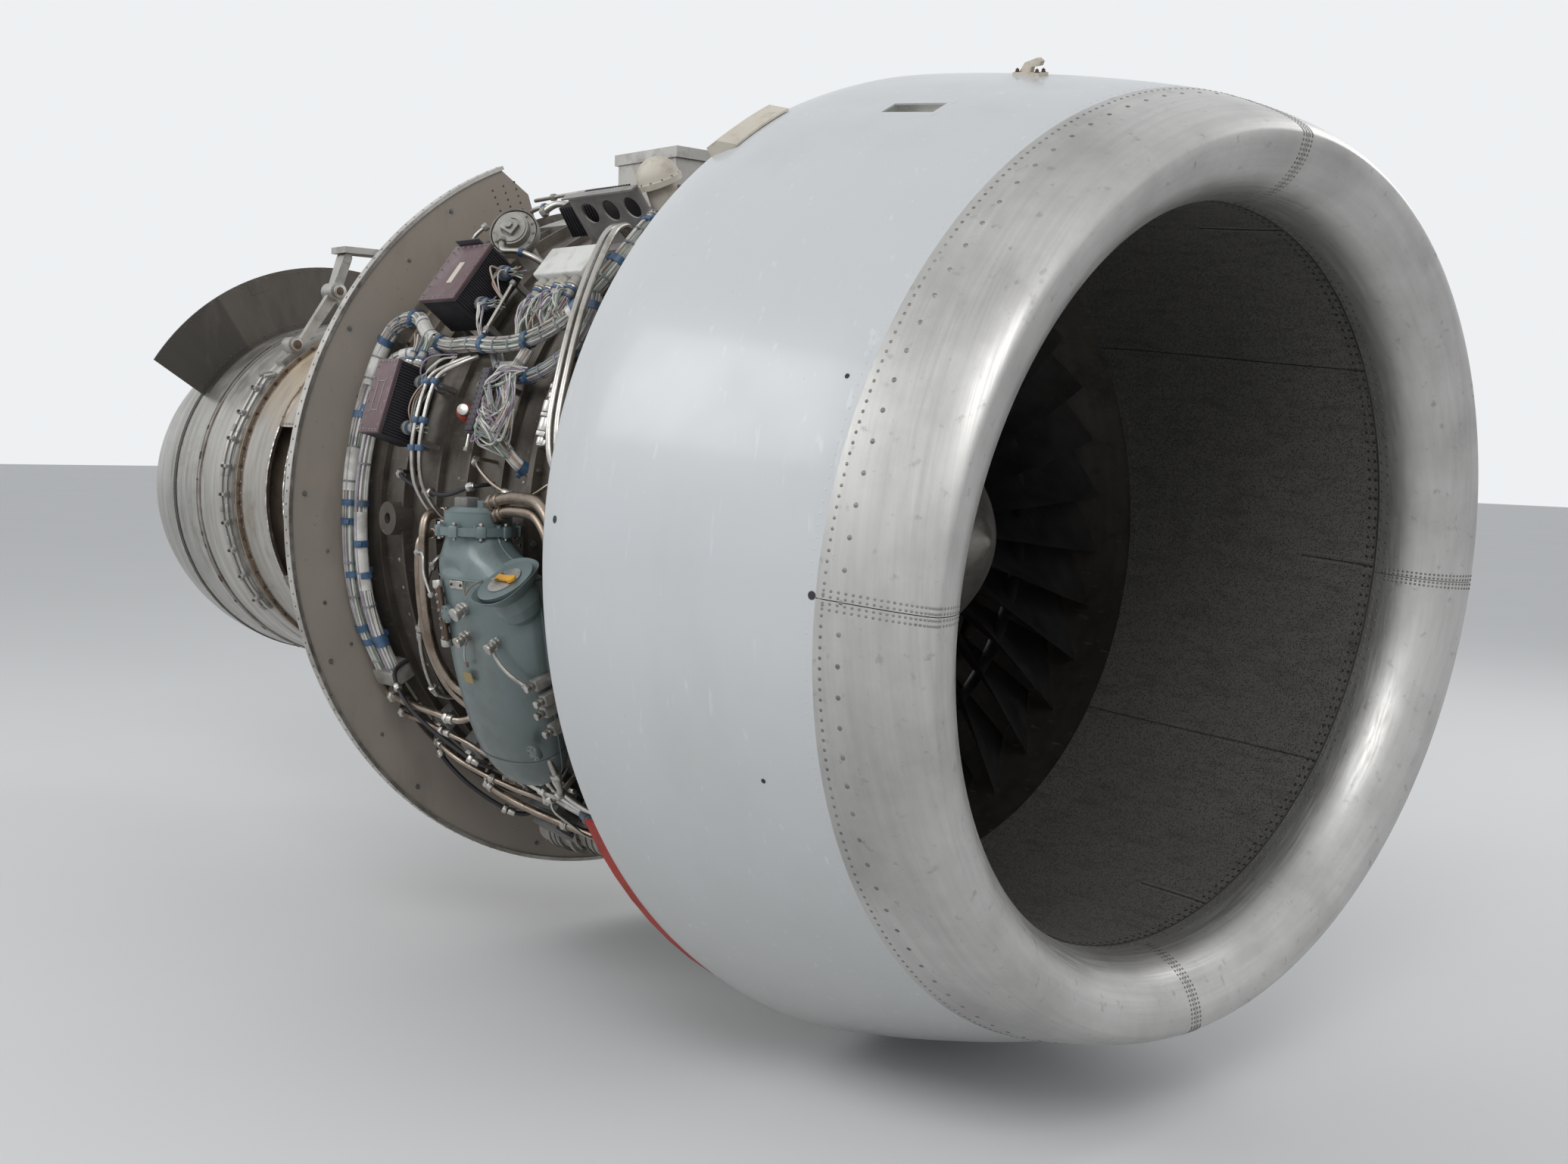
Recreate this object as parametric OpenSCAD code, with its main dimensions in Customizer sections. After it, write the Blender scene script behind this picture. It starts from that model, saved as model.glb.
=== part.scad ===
// Three-shaft turbofan with its intake fitted and its fan cowl doors and rear duct taken off.
// X points forward along the engine axis, Z up, and the origin is on top of the front mount.

/* [Intake] */
// Bore radius where the intake meets the fan case
duct_r = 930; // [915:1:940]
// Angle by which the lip and its axis droop
droop_angle = 5; // [3:0.5:7]
// Largest radius of the cowl
crown_r = 1252; // [1240:1:1270]
// Station of that largest radius
crown_x = 120; // [60:5:200]
// Radius of the circle along the very front of the lip
highlight_r = 1053; // [1020:1:1070]
// Radius of the narrowest ring of the intake
throat_r = 900; // [885:1:910]
// Length of the lip ahead of its painted joint
lip_depth = 248; // [220:2:290]
// Station of the joint between lip and cowl
lip_x = 805; // [780:1:830]
// Height of the drooped axis at that joint
lip_z = -56; // [-80:1:-30]
// Radius of the cowl at its rear edge
cowl_rear_r = 1230; // [1215:1:1238]
// Station of the cowl's rear edge
cowl_rear_x = -40; // [-50:1:-30]
// Height of the rear edge's centre
cowl_rear_z = -29; // [-40:1:-15]
// How far the cowl's belly drops below round at its rear edge
belly_drop = 75; // [10:1:90]
// Thickness of the cowl skin and the lip skin
skin = 4; // [3:0.5:6]

/* [Fan case] */
// Station where the front fan case ends and the rear one starts
fan_case_end = -480; // [-520:5:-460]
// Station where the rear fan case ends
rear_case_end = -1420; // [-1460:5:-1400]
// Wall thickness of the rear fan case
case_wall = 16; // [12:1:20]
// Outer radius of the bulkhead ring
bulkhead_r = 1178; // [1150:1:1190]
// Half of the gap in the bulkhead ring at the top, as an angle
bulkhead_gap = 20; // [14:1:26]
// Number of outlet guide vanes
outlet_vane_count = 48; // [36:2:60]

/* [Fan and rotors] */
// Number of fan blades
fan_blade_count = 33; // [27:1:36]
// Gap between the fan blade tips and the case
tip_gap = 5; // [4:1:8]
// Station of the spinner's tip
spinner_tip_x = 245; // [200:5:260]
// Outer radius of the low-pressure shaft
lp_shaft_r = 45; // [40:1:50]
// Outer radius of the intermediate-pressure shaft
ip_shaft_r = 76; // [70:1:80]
// Outer radius of the high-pressure shaft
core_shaft_r = 104; // [98:1:110]
// Running clearance of each shaft in its bearings
shaft_gap = 0.05; // [0.03:0.01:0.1]
// Gap between any other turning piece and what stands round it
rotor_gap = 5; // [4:1:8]
// Number of blades in each compressor row
row_blades = 22; // [16:1:26]

/* [Core] */
// Outer radius of the core fairing over the compressors
fairing_r = 566; // [550:1:580]
// Outer radius of the rear panel and the bolted joint behind it
core_r = 648; // [635:1:655]
// Station of the bolted joint
joint_x = -2900; // [-2920:1:-2880]
// Station of the gap between jet pipe and nozzle
nozzle_x = -3420; // [-3440:5:-3400]
// Station of the nozzle's end
nozzle_end_x = -3950; // [-4000:10:-3900]
// Radius of the jet pipe at the nozzle
nozzle_r = 672; // [660:1:680]
// Radius of the nozzle's mouth
nozzle_end_r = 520; // [500:5:540]
// Number of fuel nozzles
fuel_nozzle_count = 18; // [16:1:20]
// Number of bolts round the rear joint
joint_bolt_count = 60; // [48:2:72]

/* [Mounts] */
// Station of the front mount
front_mount_x = -1150; // [-1180:5:-1120]
// Height of the front mount's pad above the engine axis
front_mount_top = 1150; // [1130:5:1165]
// Bolt spacing of the front mount along the engine
mount_pitch_x = 220; // [200:5:240]
// Bolt spacing of the front mount across the engine
mount_pitch_y = 150; // [130:5:170]
// Radius of the front mount's bolt holes
mount_hole_r = 13; // [10:0.5:15]
// Bolt spacing of the rear mount along the engine
rear_pitch_x = 62; // [56:1:66]
// Bolt spacing of the rear mount across the engine
rear_pitch_y = 220; // [200:5:260]
// Radius of the rear mount's bolt holes
rear_hole_r = 11; // [9:0.5:12]
// Radius of the bore in each handling point
handling_bore_r = 16; // [12:0.5:20]

/* [Oil tank] */
// Half of the tank's width along the engine at its shoulders
tank_half_w = 205; // [190:1:215]
// Half of the tank's depth, measured outward from the fan case
tank_half_d = 84; // [78:1:86]
// Radius of the flange under the tank's top cap
tank_flange_r = 106; // [100:1:112]
// Radius of the filler cap
filler_cap_r = 46; // [42:1:50]
// Clearance all round the filler cap in its neck
cap_gap = 0.6; // [0.4:0.1:1]

/* [Equipment] */
// Size of the upper control box along the engine, round the case and outward
upper_box = [175, 190, 140]; // [100:1:250]
// Size of the lower control box along the engine, round the case and outward
lower_box = [100, 205, 140]; // [80:1:250]
// Number of cooling fins on each finned face
fin_count = 12; // [8:1:16]
// Radius of the main cable harness
harness_r = 19; // [15:1:22]
// Radius of the large oil pipes
oil_pipe_r = 14; // [12:1:16]

/* [Hidden] */
$fn = 96;

sink = 3;
case_r = 950;
case_skin_r = 934;
port_r = case_r - 4;
joint_flange_r = 985;
tank_r = 1072;
barrel_joint_s = 46;
throat_s = 76;
barrel_wall = 30;
nose_power = 1.3;
nose_root = 0.625;
cowl_sides = 48;
cowl_rings = 8;

// Places of the pieces that a joint turns or lifts
neck_x = -330;
neck_angle = 99;
neck_r = 1112;
neck_tilt = -63;
neck_h = 78;
cap_h = 14;
lever_l = 70;
lever_h = 7;

function unit(v) = v / norm(v);
function reversed(p) = [for (i = [len(p) - 1:-1:0]) p[i]];
function blend(a, b, t) = a + (b - a) * t;
// Place on the engine from a station, an angle from the top towards the right, and a radius
function around(x, angle, r) = [x, -r * sin(angle), r * cos(angle)];
// Cubic between two heights with a slope at each end
function cubic(y0, y1, s0, s1, t) = (2 * pow(t, 3) - 3 * t * t + 1) * y0 + (3 * t * t - 2 * pow(t, 3)) * y1
    + (pow(t, 3) - 2 * t * t + t) * s0 + (pow(t, 3) - t * t) * s1;
// Rectangle for a turned ring
function band(x0, x1, r0, r1) = [[x0, r0], [x0, r1], [x1, r1], [x1, r0]];
// Wall of even radial thickness inside a path of stations and radii
function wall_under(path, t) = concat(path, [for (p = reversed(path)) [p[0], p[1] - t]]);

module engine() { translate([-front_mount_x, 0, -front_mount_top]) children(); }
module drooped() { translate([lip_x, 0, lip_z]) rotate([0, droop_angle, 0]) children(); }
module at(x, angle, r) { translate([x, 0, 0]) rotate([angle, 0, 0]) translate([0, 0, r]) children(); }
// Turned piece about the engine axis from stations and radii
module turned(points) {
    rotate([0, 90, 0]) rotate([0, 0, 180])
        rotate_extrude() polygon([for (p = points) [p[1], p[0]]]);
}
// Part of a turned piece between two angles from the top
module sector(points, a0, a1) {
    rotate([a0, 0, 0]) rotate([0, 90, 0]) rotate([0, 0, 180])
        rotate_extrude(angle = a1 - a0) polygon([for (p = points) [p[1], p[0]]]);
}
module post(r, h) { cylinder(r = r, h = h); }
module along_x(r, l) { rotate([0, 90, 0]) cylinder(r = r, h = l, center = true); }
module bolt_head(r, h) { cylinder(r = r, h = h, $fn = 6); }

// Faces between rings of n points each, starting at point number base
function skin_faces(n, rings, base, inward) = [for (i = [0:rings - 2], k = [0:n - 1], half = [0, 1])
    let (a = base + i * n + k, b = base + i * n + (k + 1) % n, c = b + n, d = a + n,
        f = half == 0 ? [a, b, c] : [a, c, d]) inward ? f : reversed(f)];
// Faces between the rings of a thin body such as a blade. The second half of each ring is split the other
// way, so that its two sides bend alike and never cross at the thin edges
function thin_faces(n, rings) = [for (i = [0:rings - 2], k = [0:n - 1], half = [0, 1])
    let (a = i * n + k, b = i * n + (k + 1) % n, c = b + n, d = a + n)
        k < n / 2 ? (half == 0 ? [c, b, a] : [d, c, a]) : (half == 0 ? [d, b, a] : [d, c, b])];
// Flat rim between the first or last ring of an outer and an inner skin
function rim_faces(n, outer, inner, turn) = [for (k = [0:n - 1], half = [0, 1])
    let (a = outer + k, b = outer + (k + 1) % n, c = inner + (k + 1) % n, d = inner + k,
        f = half == 0 ? [a, b, c] : [a, c, d]) turn ? f : reversed(f)];
// Hollow body between two skins, each a list of rings
module double_skin(outer, inner) {
    n = len(outer[0]);
    m = len(outer);
    points = [for (ring = concat(outer, inner), p = ring) p];
    polyhedron(points, concat(skin_faces(n, m, 0, false), skin_faces(n, m, n * m, true),
        rim_faces(n, 0, n * m, true), rim_faces(n, n * (m - 1), n * (2 * m - 1), false)));
}
// Solid body through a list of rings; a thin one has both its faces split alike
module lofted(rings, thin = false) {
    n = len(rings[0]);
    m = len(rings);
    last = n * (m - 1);
    first_cap = [for (k = [1:n - 2]) [0, k, k + 1]];
    last_cap = [for (k = [1:n - 2]) [last, last + k + 1, last + k]];
    sides = thin ? thin_faces(n, m) : skin_faces(n, m, 0, false);
    polyhedron([for (ring = rings, p = ring) p], concat(sides, first_cap, last_cap));
}

// Curve through hand-placed points
function curve_point(a, b, c, d, u) = 0.5 * (2 * b + (c - a) * u + (2 * a - 5 * b + 4 * c - d) * u * u
    + (3 * b - a - 3 * c + d) * u * u * u);
function curve(p, steps) = [for (i = [0:len(p) - 2], k = [0:steps - 1])
    curve_point(p[max(i - 1, 0)], p[i], p[i + 1], p[min(i + 2, len(p) - 1)], k / steps), p[len(p) - 1]];
function heading(p, i) = unit(p[min(i + 1, len(p) - 1)] - p[max(i - 1, 0)]);
function square_to(v, t) = unit(v - (v * t) * t);
function side_dirs(p) = [for (i = 0, v = square_to(cross(heading(p, 0), [0.3, 0.5, 0.8]), heading(p, 0));
    i < len(p); i = i + 1, v = i < len(p) ? square_to(v, heading(p, i)) : v) v];
// Round tube along a smooth route of [station, angle, radius] points
module tube(route, r, steps = 3, sides = 8) {
    p = curve([for (q = route) around(q[0], q[1], q[2])], steps);
    s = side_dirs(p);
    lofted([for (i = [0:len(p) - 1]) let (t = heading(p, i), v = cross(t, s[i]))
        [for (k = [0:sides - 1]) p[i] + r * (cos(360 * k / sides) * s[i] + sin(360 * k / sides) * v)]]);
}

/* Intake */
// Radius of the cowl and lip at a station, one smooth line from the rear edge to the highlight
function nose_part(x) = min(1, (x - crown_x) / (lip_x + lip_depth - crown_x));
function cowl_radius(x) = x > crown_x
    ? highlight_r + (crown_r - highlight_r) * pow(1 - pow(nose_part(x), nose_power), nose_root)
    : crown_r - (crown_r - cowl_rear_r) * pow((crown_x - x) / (crown_x - cowl_rear_x), 2);
lip_joint_r = cowl_radius(lip_x);

// Drooped lip: the cowl's line outside and an ellipse quarter inside, meeting at the highlight
function lip_outer(inset) = [for (k = [0:12])
    let (s = lip_depth * sin(90 * k / 12), keep = 1 - inset / (lip_joint_r - highlight_r))
    [s * (lip_depth - inset) / lip_depth, highlight_r + (cowl_radius(lip_x + s) - highlight_r) * keep]];
function lip_inner(inset) = [for (k = [1:12]) let (q = 90 * k / 12)
    [throat_s + (lip_depth - inset - throat_s) * cos(q),
    highlight_r - (highlight_r - throat_r - inset) * sin(q)]];
function lip_side(inset) = concat(lip_outer(inset), lip_inner(inset),
    [[barrel_joint_s, throat_r + 2 + inset]]);

module intake_lip() {
    color([0.68, 0.67, 0.66]) engine() drooped()
        turned(concat(lip_side(0), reversed(lip_side(skin))));
}

module lip_bulkhead() {
    web = 6;
    outer_r = lip_joint_r - skin + 1;
    inner_r = throat_r + 2 + skin - 1;
    color([0.6, 0.6, 0.55]) engine() drooped()
        turned([[3, outer_r], [3 + web, outer_r], [barrel_joint_s + 8 + web, inner_r],
            [barrel_joint_s + 8, inner_r]]);
}

// Point of the outer cowl at t from 0 at its rear edge to 1 at the lip, and at an angle from the top
function cowl_point(t, a, inset) = let (cx = blend(cowl_rear_x, lip_x, t), r = cowl_radius(cx) - inset,
    tilt = droop_angle * t, up = r * cos(a) - belly_drop * (1 - t) * max(0, -cos(a)))
    [cx + up * sin(tilt), -r * sin(a), blend(cowl_rear_z, lip_z, t) + up * cos(tilt)];
function cowl_ring(t, inset) = [for (k = [0:cowl_sides - 1]) cowl_point(t, 360 * k / cowl_sides, inset)];
function seen_from_front(points) = [for (p = points) [p[1], p[2]]];
module on_cowl(t, a, slope) { translate(cowl_point(t, a, 0)) rotate([a, 0, 0]) rotate([0, slope,
    0]) children(); }
module on_scoop() { on_cowl(0.56, 28.8, 8) children(); }
// Flat outline across the engine, thickened between two stations
module across(x0, x1) { translate([x0, 0, 0]) rotate([90, 0, 90]) linear_extrude(x1 - x0) children(); }

module scoop_opening() {
    on_scoop() linear_extrude(60, center = true) polygon([[-73, -36], [73, -24], [70, 34], [-75, 18]]);
}

module intake_cowl() {
    color([0.80, 0.82, 0.83]) engine() difference() {
        double_skin([for (i = [0:cowl_rings]) cowl_ring(i / cowl_rings, 0)],
            [for (i = [0:cowl_rings]) cowl_ring(i / cowl_rings, skin)]);
        scoop_opening();
    }
}

function barrel_ring(t, r_add) = let (tilt = droop_angle * t, s = barrel_joint_s * t,
    r = cubic(duct_r, throat_r + 2, 0, 0, t) + r_add, cx = blend(0, lip_x + s * cos(droop_angle), t),
    cz = blend(0, lip_z - s * sin(droop_angle), t))
    [for (k = [0:cowl_sides - 1]) let (a = 360 * k / cowl_sides)
        [cx + r * cos(a) * sin(tilt), -r * sin(a), cz + r * cos(a) * cos(tilt)]];

module intake_barrel() {
    rings = 5;
    color([0.43, 0.42, 0.41]) engine() double_skin([for (i = [0:rings]) barrel_ring(i / rings,
        barrel_wall)],
        [for (i = [0:rings]) barrel_ring(i / rings, 0)]);
}

module intake_rear_ring() {
    web = 6;
    color([0.55, 0.55, 0.53]) engine() union() {
        difference() {
            across(0, web) polygon(seen_from_front(cowl_ring(0.05, skin - 1)));
            along_x(duct_r + barrel_wall + 1, 40);
        }
        turned(band(0, 46, duct_r + barrel_wall - 1, duct_r + barrel_wall + 6));
    }
}

// Air scoop let into the cowl: a ramp that deepens towards the rear
module flush_scoop() {
    depth = 62;
    wall = 3;
    color([0.72, 0.74, 0.74]) engine() on_scoop() difference() {
        rotate([90, 0, 0]) linear_extrude(86, center = true)
            polygon([[-92, -2], [-92, -depth], [88, -12], [88, -2]]);
        rotate([90, 0, 0]) linear_extrude(86 - 2 * wall, center = true)
            polygon([[-92 + wall, 0], [-92 + wall, wall - depth], [88 - wall, wall - 12], [88 - wall, 0]]);
    }
}

// Hoist fitting on the crown and the low fairings beside the crown's rear edge
module crown_fittings() {
    color([0.78, 0.80, 0.80]) engine() union() {
        for (side = [-1, 1]) translate([0, 0, cowl_rear_z]) rotate([side * 33.5, 0, 0])
            sector([[-38, 1229], [-38, 1256], [10, 1270], [72, 1253], [72, 1248], [10, 1240]], -4.5, 4.5);
        on_cowl(0.62, 12.5, 9) {
            translate([-40, -18, -4]) cube([80, 36, 12]);
            rotate([90, 0, 0]) linear_extrude(14, center = true)
                polygon([[-32, 4], [-12, 30], [26, 42], [38, 34], [32, 24], [8, 20], [4, 4]]);
        }
    }
}

module seal_strip() {
    strip = 8;
    color([0.62, 0.16, 0.12]) engine() across(cowl_rear_x - 52, cowl_rear_x + 24) polygon(seen_from_front(
        concat([for (a = [120:4:152]) cowl_point(0, a, skin)],
            [for (a = [152:-4:120]) cowl_point(0, a, skin + strip)])));
}

/* Fan case */
module rib(x, r) { turned(band(x - 5, x + 5, case_r - 2, r)); }
module flange(x, w, r) { turned(band(x - w, x, case_r - 2, r)); }

module fan_case() {
    color([0.50, 0.48, 0.45]) engine() difference() {
        union() {
            turned(band(fan_case_end, 0, case_skin_r, case_r + 6));
            flange(0, 14, 992);
            flange(fan_case_end + 12, 12, joint_flange_r);
            rib(-110, 972);
            rib(-205, 972);
            rib(-300, 972);
            rib(-390, 972);
        }
        for (i = [0:35]) at(-7, 360 * i / 36 + 5, 981) along_x(4, 20);
    }
}

module rear_fan_case() {
    color([0.52, 0.49, 0.45]) engine() union() {
        turned(band(rear_case_end, fan_case_end, case_r - case_wall, case_r));
        flange(fan_case_end, 12, joint_flange_r);
        rib(-640, 968);
        rib(-790, 980);
        rib(-960, 968);
        rib(-1120, 980);
        rib(-1270, 968);
        flange(rear_case_end + 14, 14, 992);
        for (side = [-1, 1]) at(front_mount_x, side * 90, case_r - 4) difference() {
            post(48, 64);
            translate([0, 0, 14]) post(handling_bore_r, 60);
        }
    }
}

// Bowed section of a vane or blade; short ones need only four sides
function vane_section(chord, thick) = chord < 60
    ? [[chord / 2, 0], [0, chord * 0.06 + thick / 2], [-chord / 2, 0], [0, chord * 0.06 - thick / 2]]
    : [[chord / 2, 0], [chord / 4, thick / 2 + chord * 0.04], [-chord / 6, thick / 2 + chord * 0.05],
        [-chord / 2, 0], [-chord / 6, chord * 0.05 - thick / 2], [chord / 4, chord * 0.04 - thick / 2]];
module vane(x, angle, r0, r1, chord, thick, stagger) {
    at(x, angle, r0) rotate([0, 0, stagger]) linear_extrude(r1 - r0) polygon(vane_section(chord, thick));
}

module blade_row(x, r0, r1, count, chord, thick, stagger) {
    for (i = [0:count - 1]) vane(x, 360 * i / count, r0, r1, chord, thick, stagger);
}

module outlet_vanes() {
    color([0.45, 0.44, 0.43]) engine() union() {
        turned(band(-760, -620, case_skin_r - 10, case_skin_r));
        turned(band(-760, -620, fairing_r, fairing_r + 9));
        blade_row(-690, fairing_r + 6, case_skin_r - 6, outlet_vane_count, 118, 8, 14);
    }
}

module bulkhead_ring() {
    web_x = -1425;
    ends = [bulkhead_gap, 360 - bulkhead_gap];
    color([0.66, 0.64, 0.61]) engine() difference() {
        union() {
            sector(band(web_x - 6, web_x, case_r - 2, bulkhead_r), ends[0], ends[1]);
            sector(band(web_x - 24, web_x + 4, bulkhead_r - 8, bulkhead_r), ends[0], ends[1]);
            sector(band(web_x, web_x + 26, case_r - 2, case_r + 5), ends[0], ends[1]);
        }
        for (side = [-1, 1]) rotate([side * bulkhead_gap, 0, 0]) translate([web_x, 0, bulkhead_r])
            rotate([side * 38, 0, 0]) translate([0, -side * 20, 0]) cube([80, 90, 190], center = true);
        for (i = [0:7]) at(web_x, 87 + 26 * (i - 2), 1130) along_x(8, 40);
    }
}

/* Core casings */
module splitter_fairing() {
    color([0.58, 0.57, 0.55]) engine() turned([[-480, 545], [-484, 551], [-500, 557], [-540, 563],
        [-600, fairing_r], [-1000, fairing_r], [-1000, fairing_r - 5], [-600, fairing_r - 5],
        [-560, 552], [-560, 540], [-500, 540], [-484, 541]]);
}

module front_bearing_housing() {
    color([0.48, 0.47, 0.46]) engine() union() {
        turned([[-350, 348], [-350, 356], [-560, 392], [-560, 384]]);
        turned(band(-560, -480, 376, 384));
        turned(band(-535, -520, 112, 380));
        turned(band(-575, -485, 112, 122));
        turned(band(-485, -478, 60, 122));
        turned(band(-535, -485, 74, 84));
        blade_row(-525, 378, 542, 30, 56, 5, 6);
    }
}

// Outer wall of the first compressor's gas path
function ip_wall(x) = blend(532, 448, (x + 560) / -440);
module ip_compressor_case() {
    color([0.55, 0.53, 0.50]) engine() union() {
        turned([[-560, 532], [-560, 541], [-1000, 457], [-1000, 448]]);
        turned(band(-572, -560, 530, 553));
        turned(band(-1000, -988, 452, 480));
        for (k = [0:4]) let (x = -630 - 74 * k) {
            blade_row(x, 392, ip_wall(x) + 4, row_blades, 30, 3, -32);
            turned(band(x - 4, x + 4, ip_wall(x) + 2, ip_wall(x) + 18));
        }
    }
}

module intermediate_case() {
    color([0.53, 0.52, 0.50]) engine() union() {
        turned(band(-1220, -1000, fairing_r - 5, fairing_r));
        turned([[-1000, 448], [-1000, 480], [-1012, 480], [-1012, 456], [-1206, 416],
            [-1206, 440], [-1220, 440], [-1220, 406]]);
        turned([[-1006, 384], [-1006, 376], [-1220, 300], [-1220, 308]]);
        turned(band(-1118, -1104, 140, 340));
        turned(band(-1180, -1030, 140, 150));
        turned(band(-1046, -1030, 104, 150));
        turned(band(-1190, -1174, 134, 150));
        for (i = [0:7]) vane(-1110, 22.5 + 45 * i, 338, case_skin_r + 1, 150, 26, 0);
    }
}

// Outer wall of the high-pressure gas path
function core_wall(x) = blend(406, 372, (x + 1220) / -430);
module core_compressor_case() {
    color([0.56, 0.53, 0.49]) engine() union() {
        turned([[-1220, 406], [-1220, 440], [-1234, 440], [-1234, 415], [-1636, 383], [-1636, 420],
            [-1650, 420], [-1650, 372]]);
        for (k = [0:4]) let (x = -1292 - 70 * k) {
            blade_row(x, 332, core_wall(x) + 4, row_blades, 26, 3, -32);
            turned(band(x - 4, x + 4, core_wall(x) + 2, core_wall(x) + 22));
        }
    }
}

module combustion_case() {
    color([0.58, 0.53, 0.46]) engine() difference() {
        turned([[-1650, 372], [-1650, 420], [-1664, 420], [-1664, 398], [-1720, 446], [-2106, 446],
            [-2106, 470], [-2120, 470], [-2120, 438], [-1724, 438], [-1664, 388], [-1664, 372]]);
        for (i = [0:fuel_nozzle_count - 1]) at(-1760, 360 * i / fuel_nozzle_count, 400) post(13, 80);
    }
}

module combustor() {
    color([0.50, 0.46, 0.42]) engine() difference() {
        union() {
            turned([[-1800, 262], [-1786, 300], [-1786, 350], [-1800, 392], [-2100, 400], [-2100, 439],
                [-2106, 439], [-2106, 396], [-1804, 388], [-1790, 349], [-1790, 301], [-1804, 266],
                [-2100, 274], [-2106, 270], [-2106, 266]]);
            turned(band(-2106, -1650, 218, 222));
            turned(band(-2106, -2100, 218, 270));
            turned([[-1650, 218], [-1650, 374], [-1656, 374], [-1656, 218]]);
        }
        for (i = [0:fuel_nozzle_count - 1]) at(-1788, 360 * i / fuel_nozzle_count, 326) along_x(18, 30);
        for (i = [0:15]) at(-1653, 360 * i / 16, 340) along_x(14, 20);
    }
}

module fuel_nozzles() {
    color([0.62, 0.60, 0.57]) engine() union() {
        for (i = [0:fuel_nozzle_count - 1]) {
            at(-1760, 360 * i / fuel_nozzle_count, 326) post(10, 154);
            at(-1760, 360 * i / fuel_nozzle_count, 445) post(24, 9);
            at(-1772, 360 * i / fuel_nozzle_count, 326) along_x(16, 46);
        }
        rotate([0, 90, 0]) translate([0, 0, -1760]) rotate_extrude() translate([478, 0]) circle(8,
            $fn = 24);
    }
}

// Inside of the turbine case: level over each rotor and widening over the vanes between them
function turbine_line(t) = [for (p = [[-2404, 444], [-2476, 444], [-2534, 492], [-2602, 492], [-2664, 544],
    [-2736, 544], [-2800, 592], [-2892, 624]]) [p[0], p[1] + t]];
module turbine_case() {
    flange_r = core_r + 14;
    wall = 8;
    color([0.55, 0.47, 0.38]) engine() union() {
        turned(concat([[-2120, 392], [-2120, 470], [-2134, 470], [-2134, 404], [-2396, 404]],
            turbine_line(wall),
            [[-2892, flange_r], [joint_x, flange_r], [joint_x, 624]], reversed(turbine_line(0)),
                [[-2400, 392]]));
        intersection() {
            union() {
                blade_row(-2505, 330, 500, row_blades, 46, 5, 28);
                blade_row(-2630, 350, 550, row_blades, 46, 5, 28);
            }
            turned(concat([[-2404, 300]], turbine_line(wall / 2), [[-2892, 300]]));
        }
    }
}

module turbine_bearing_support() {
    color([0.47, 0.44, 0.41]) engine() union() {
        turned(band(-2274, -2214, 128, 138));
        turned(band(-2250, -2238, 130, 300));
        turned(band(-2272, -2216, 292, 300));
        blade_row(-2244, 297, 393, row_blades, 42, 6, 24);
        turned(band(-2274, -2262, 104, 138));
    }
}

// Steps round the exhaust case that the rear mount sits on
mount_seat = [[-2935, core_r + 6], [-2950, core_r + 6], [-2955, core_r + 12], [-2990, core_r + 14]];
module exhaust_case() {
    color([0.70, 0.66, 0.60]) engine() union() {
        turned([[joint_x, 632], [joint_x, core_r + 14], [-2910, core_r + 14], [-2910, core_r],
            mount_seat[0], mount_seat[1], mount_seat[2], mount_seat[3], [-2996, core_r + 20],
                [-3190, nozzle_r], [-3190, nozzle_r - 8], [-2996, core_r + 12],
            [-2990, core_r + 6], [-2910, 632]]);
        turned([[-2920, 300], [-3190, 300], [-3190, 292], [-2920, 292]]);
        turned(band(-3004, -2992, 80, 296));
        turned(band(-3030, -2968, 72, 84));
        for (i = [0:9]) vane(-3070, 36 * i, 297, core_r + 17, 130, 20, 0);
    }
}

module core_fairing() {
    color([0.62, 0.60, 0.57]) engine() union() {
        turned(wall_under([[-1220, fairing_r], [-1500, 590], [-2000, 620], [-2480, 640]], 3));
        turned(band(-1240, -1220, fairing_r - 4, fairing_r - 2));
        turned([[-2120, 468], [-2120, 624], [-2123, 624], [-2123, 468]]);
        turned([[-1650, 418], [-1650, 597], [-1653, 597], [-1653, 418]]);
    }
}

// Tan panel with the window that was left open on each side
module core_rear_panel() {
    color([0.73, 0.66, 0.57]) engine() difference() {
        turned([[-2480, 640], [-2660, core_r - 4], [-2664, core_r + 2], [-2892, core_r + 2],
            [-2892, core_r - 2],
            [-2668, core_r - 2], [-2664, core_r - 8], [-2480, 636]]);
        for (side = [-1, 1]) rotate([side * 92, 0, 0])
            sector([[-2664, 600], [-2664, 700], [-2540, 700], [-2540, 600]], -25, 25);
    }
}

module joint_bolts() {
    color([0.36, 0.26, 0.19]) engine() for (i = [0:joint_bolt_count - 1])
        for (face = [-2892, -2918]) at(face, 360 * (i + 0.5) / joint_bolt_count, core_r + 8)
            rotate([0, 90, 0]) bolt_head(5.5, 8);
}

module jet_pipe() {
    color([0.69, 0.68, 0.66]) engine() union() {
        turned([[-3190, nozzle_r - 8], [-3190, nozzle_r], [-3196, nozzle_r + 3], [-3214, nozzle_r + 3],
            [-3220, nozzle_r], [nozzle_x + 12, nozzle_r], [nozzle_x + 12, nozzle_r - 9],
                [nozzle_x - 12, nozzle_r - 9],
            [nozzle_x - 12, nozzle_r - 16], [-3190, nozzle_r - 16]]);
    }
}

function nozzle_line(inset) = [for (k = [0:8]) let (t = k / 8)
    [blend(nozzle_x - 12, nozzle_end_x, t), cubic(nozzle_r, nozzle_end_r, -20, -260, t) - inset]];
module exhaust_nozzle() {
    color([0.62, 0.62, 0.61]) engine() union() {
        turned(concat(nozzle_line(0), reversed(nozzle_line(5))));
        turned(band(nozzle_x - 20, nozzle_x - 12, nozzle_r - 17, nozzle_r - 2));
    }
}

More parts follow.
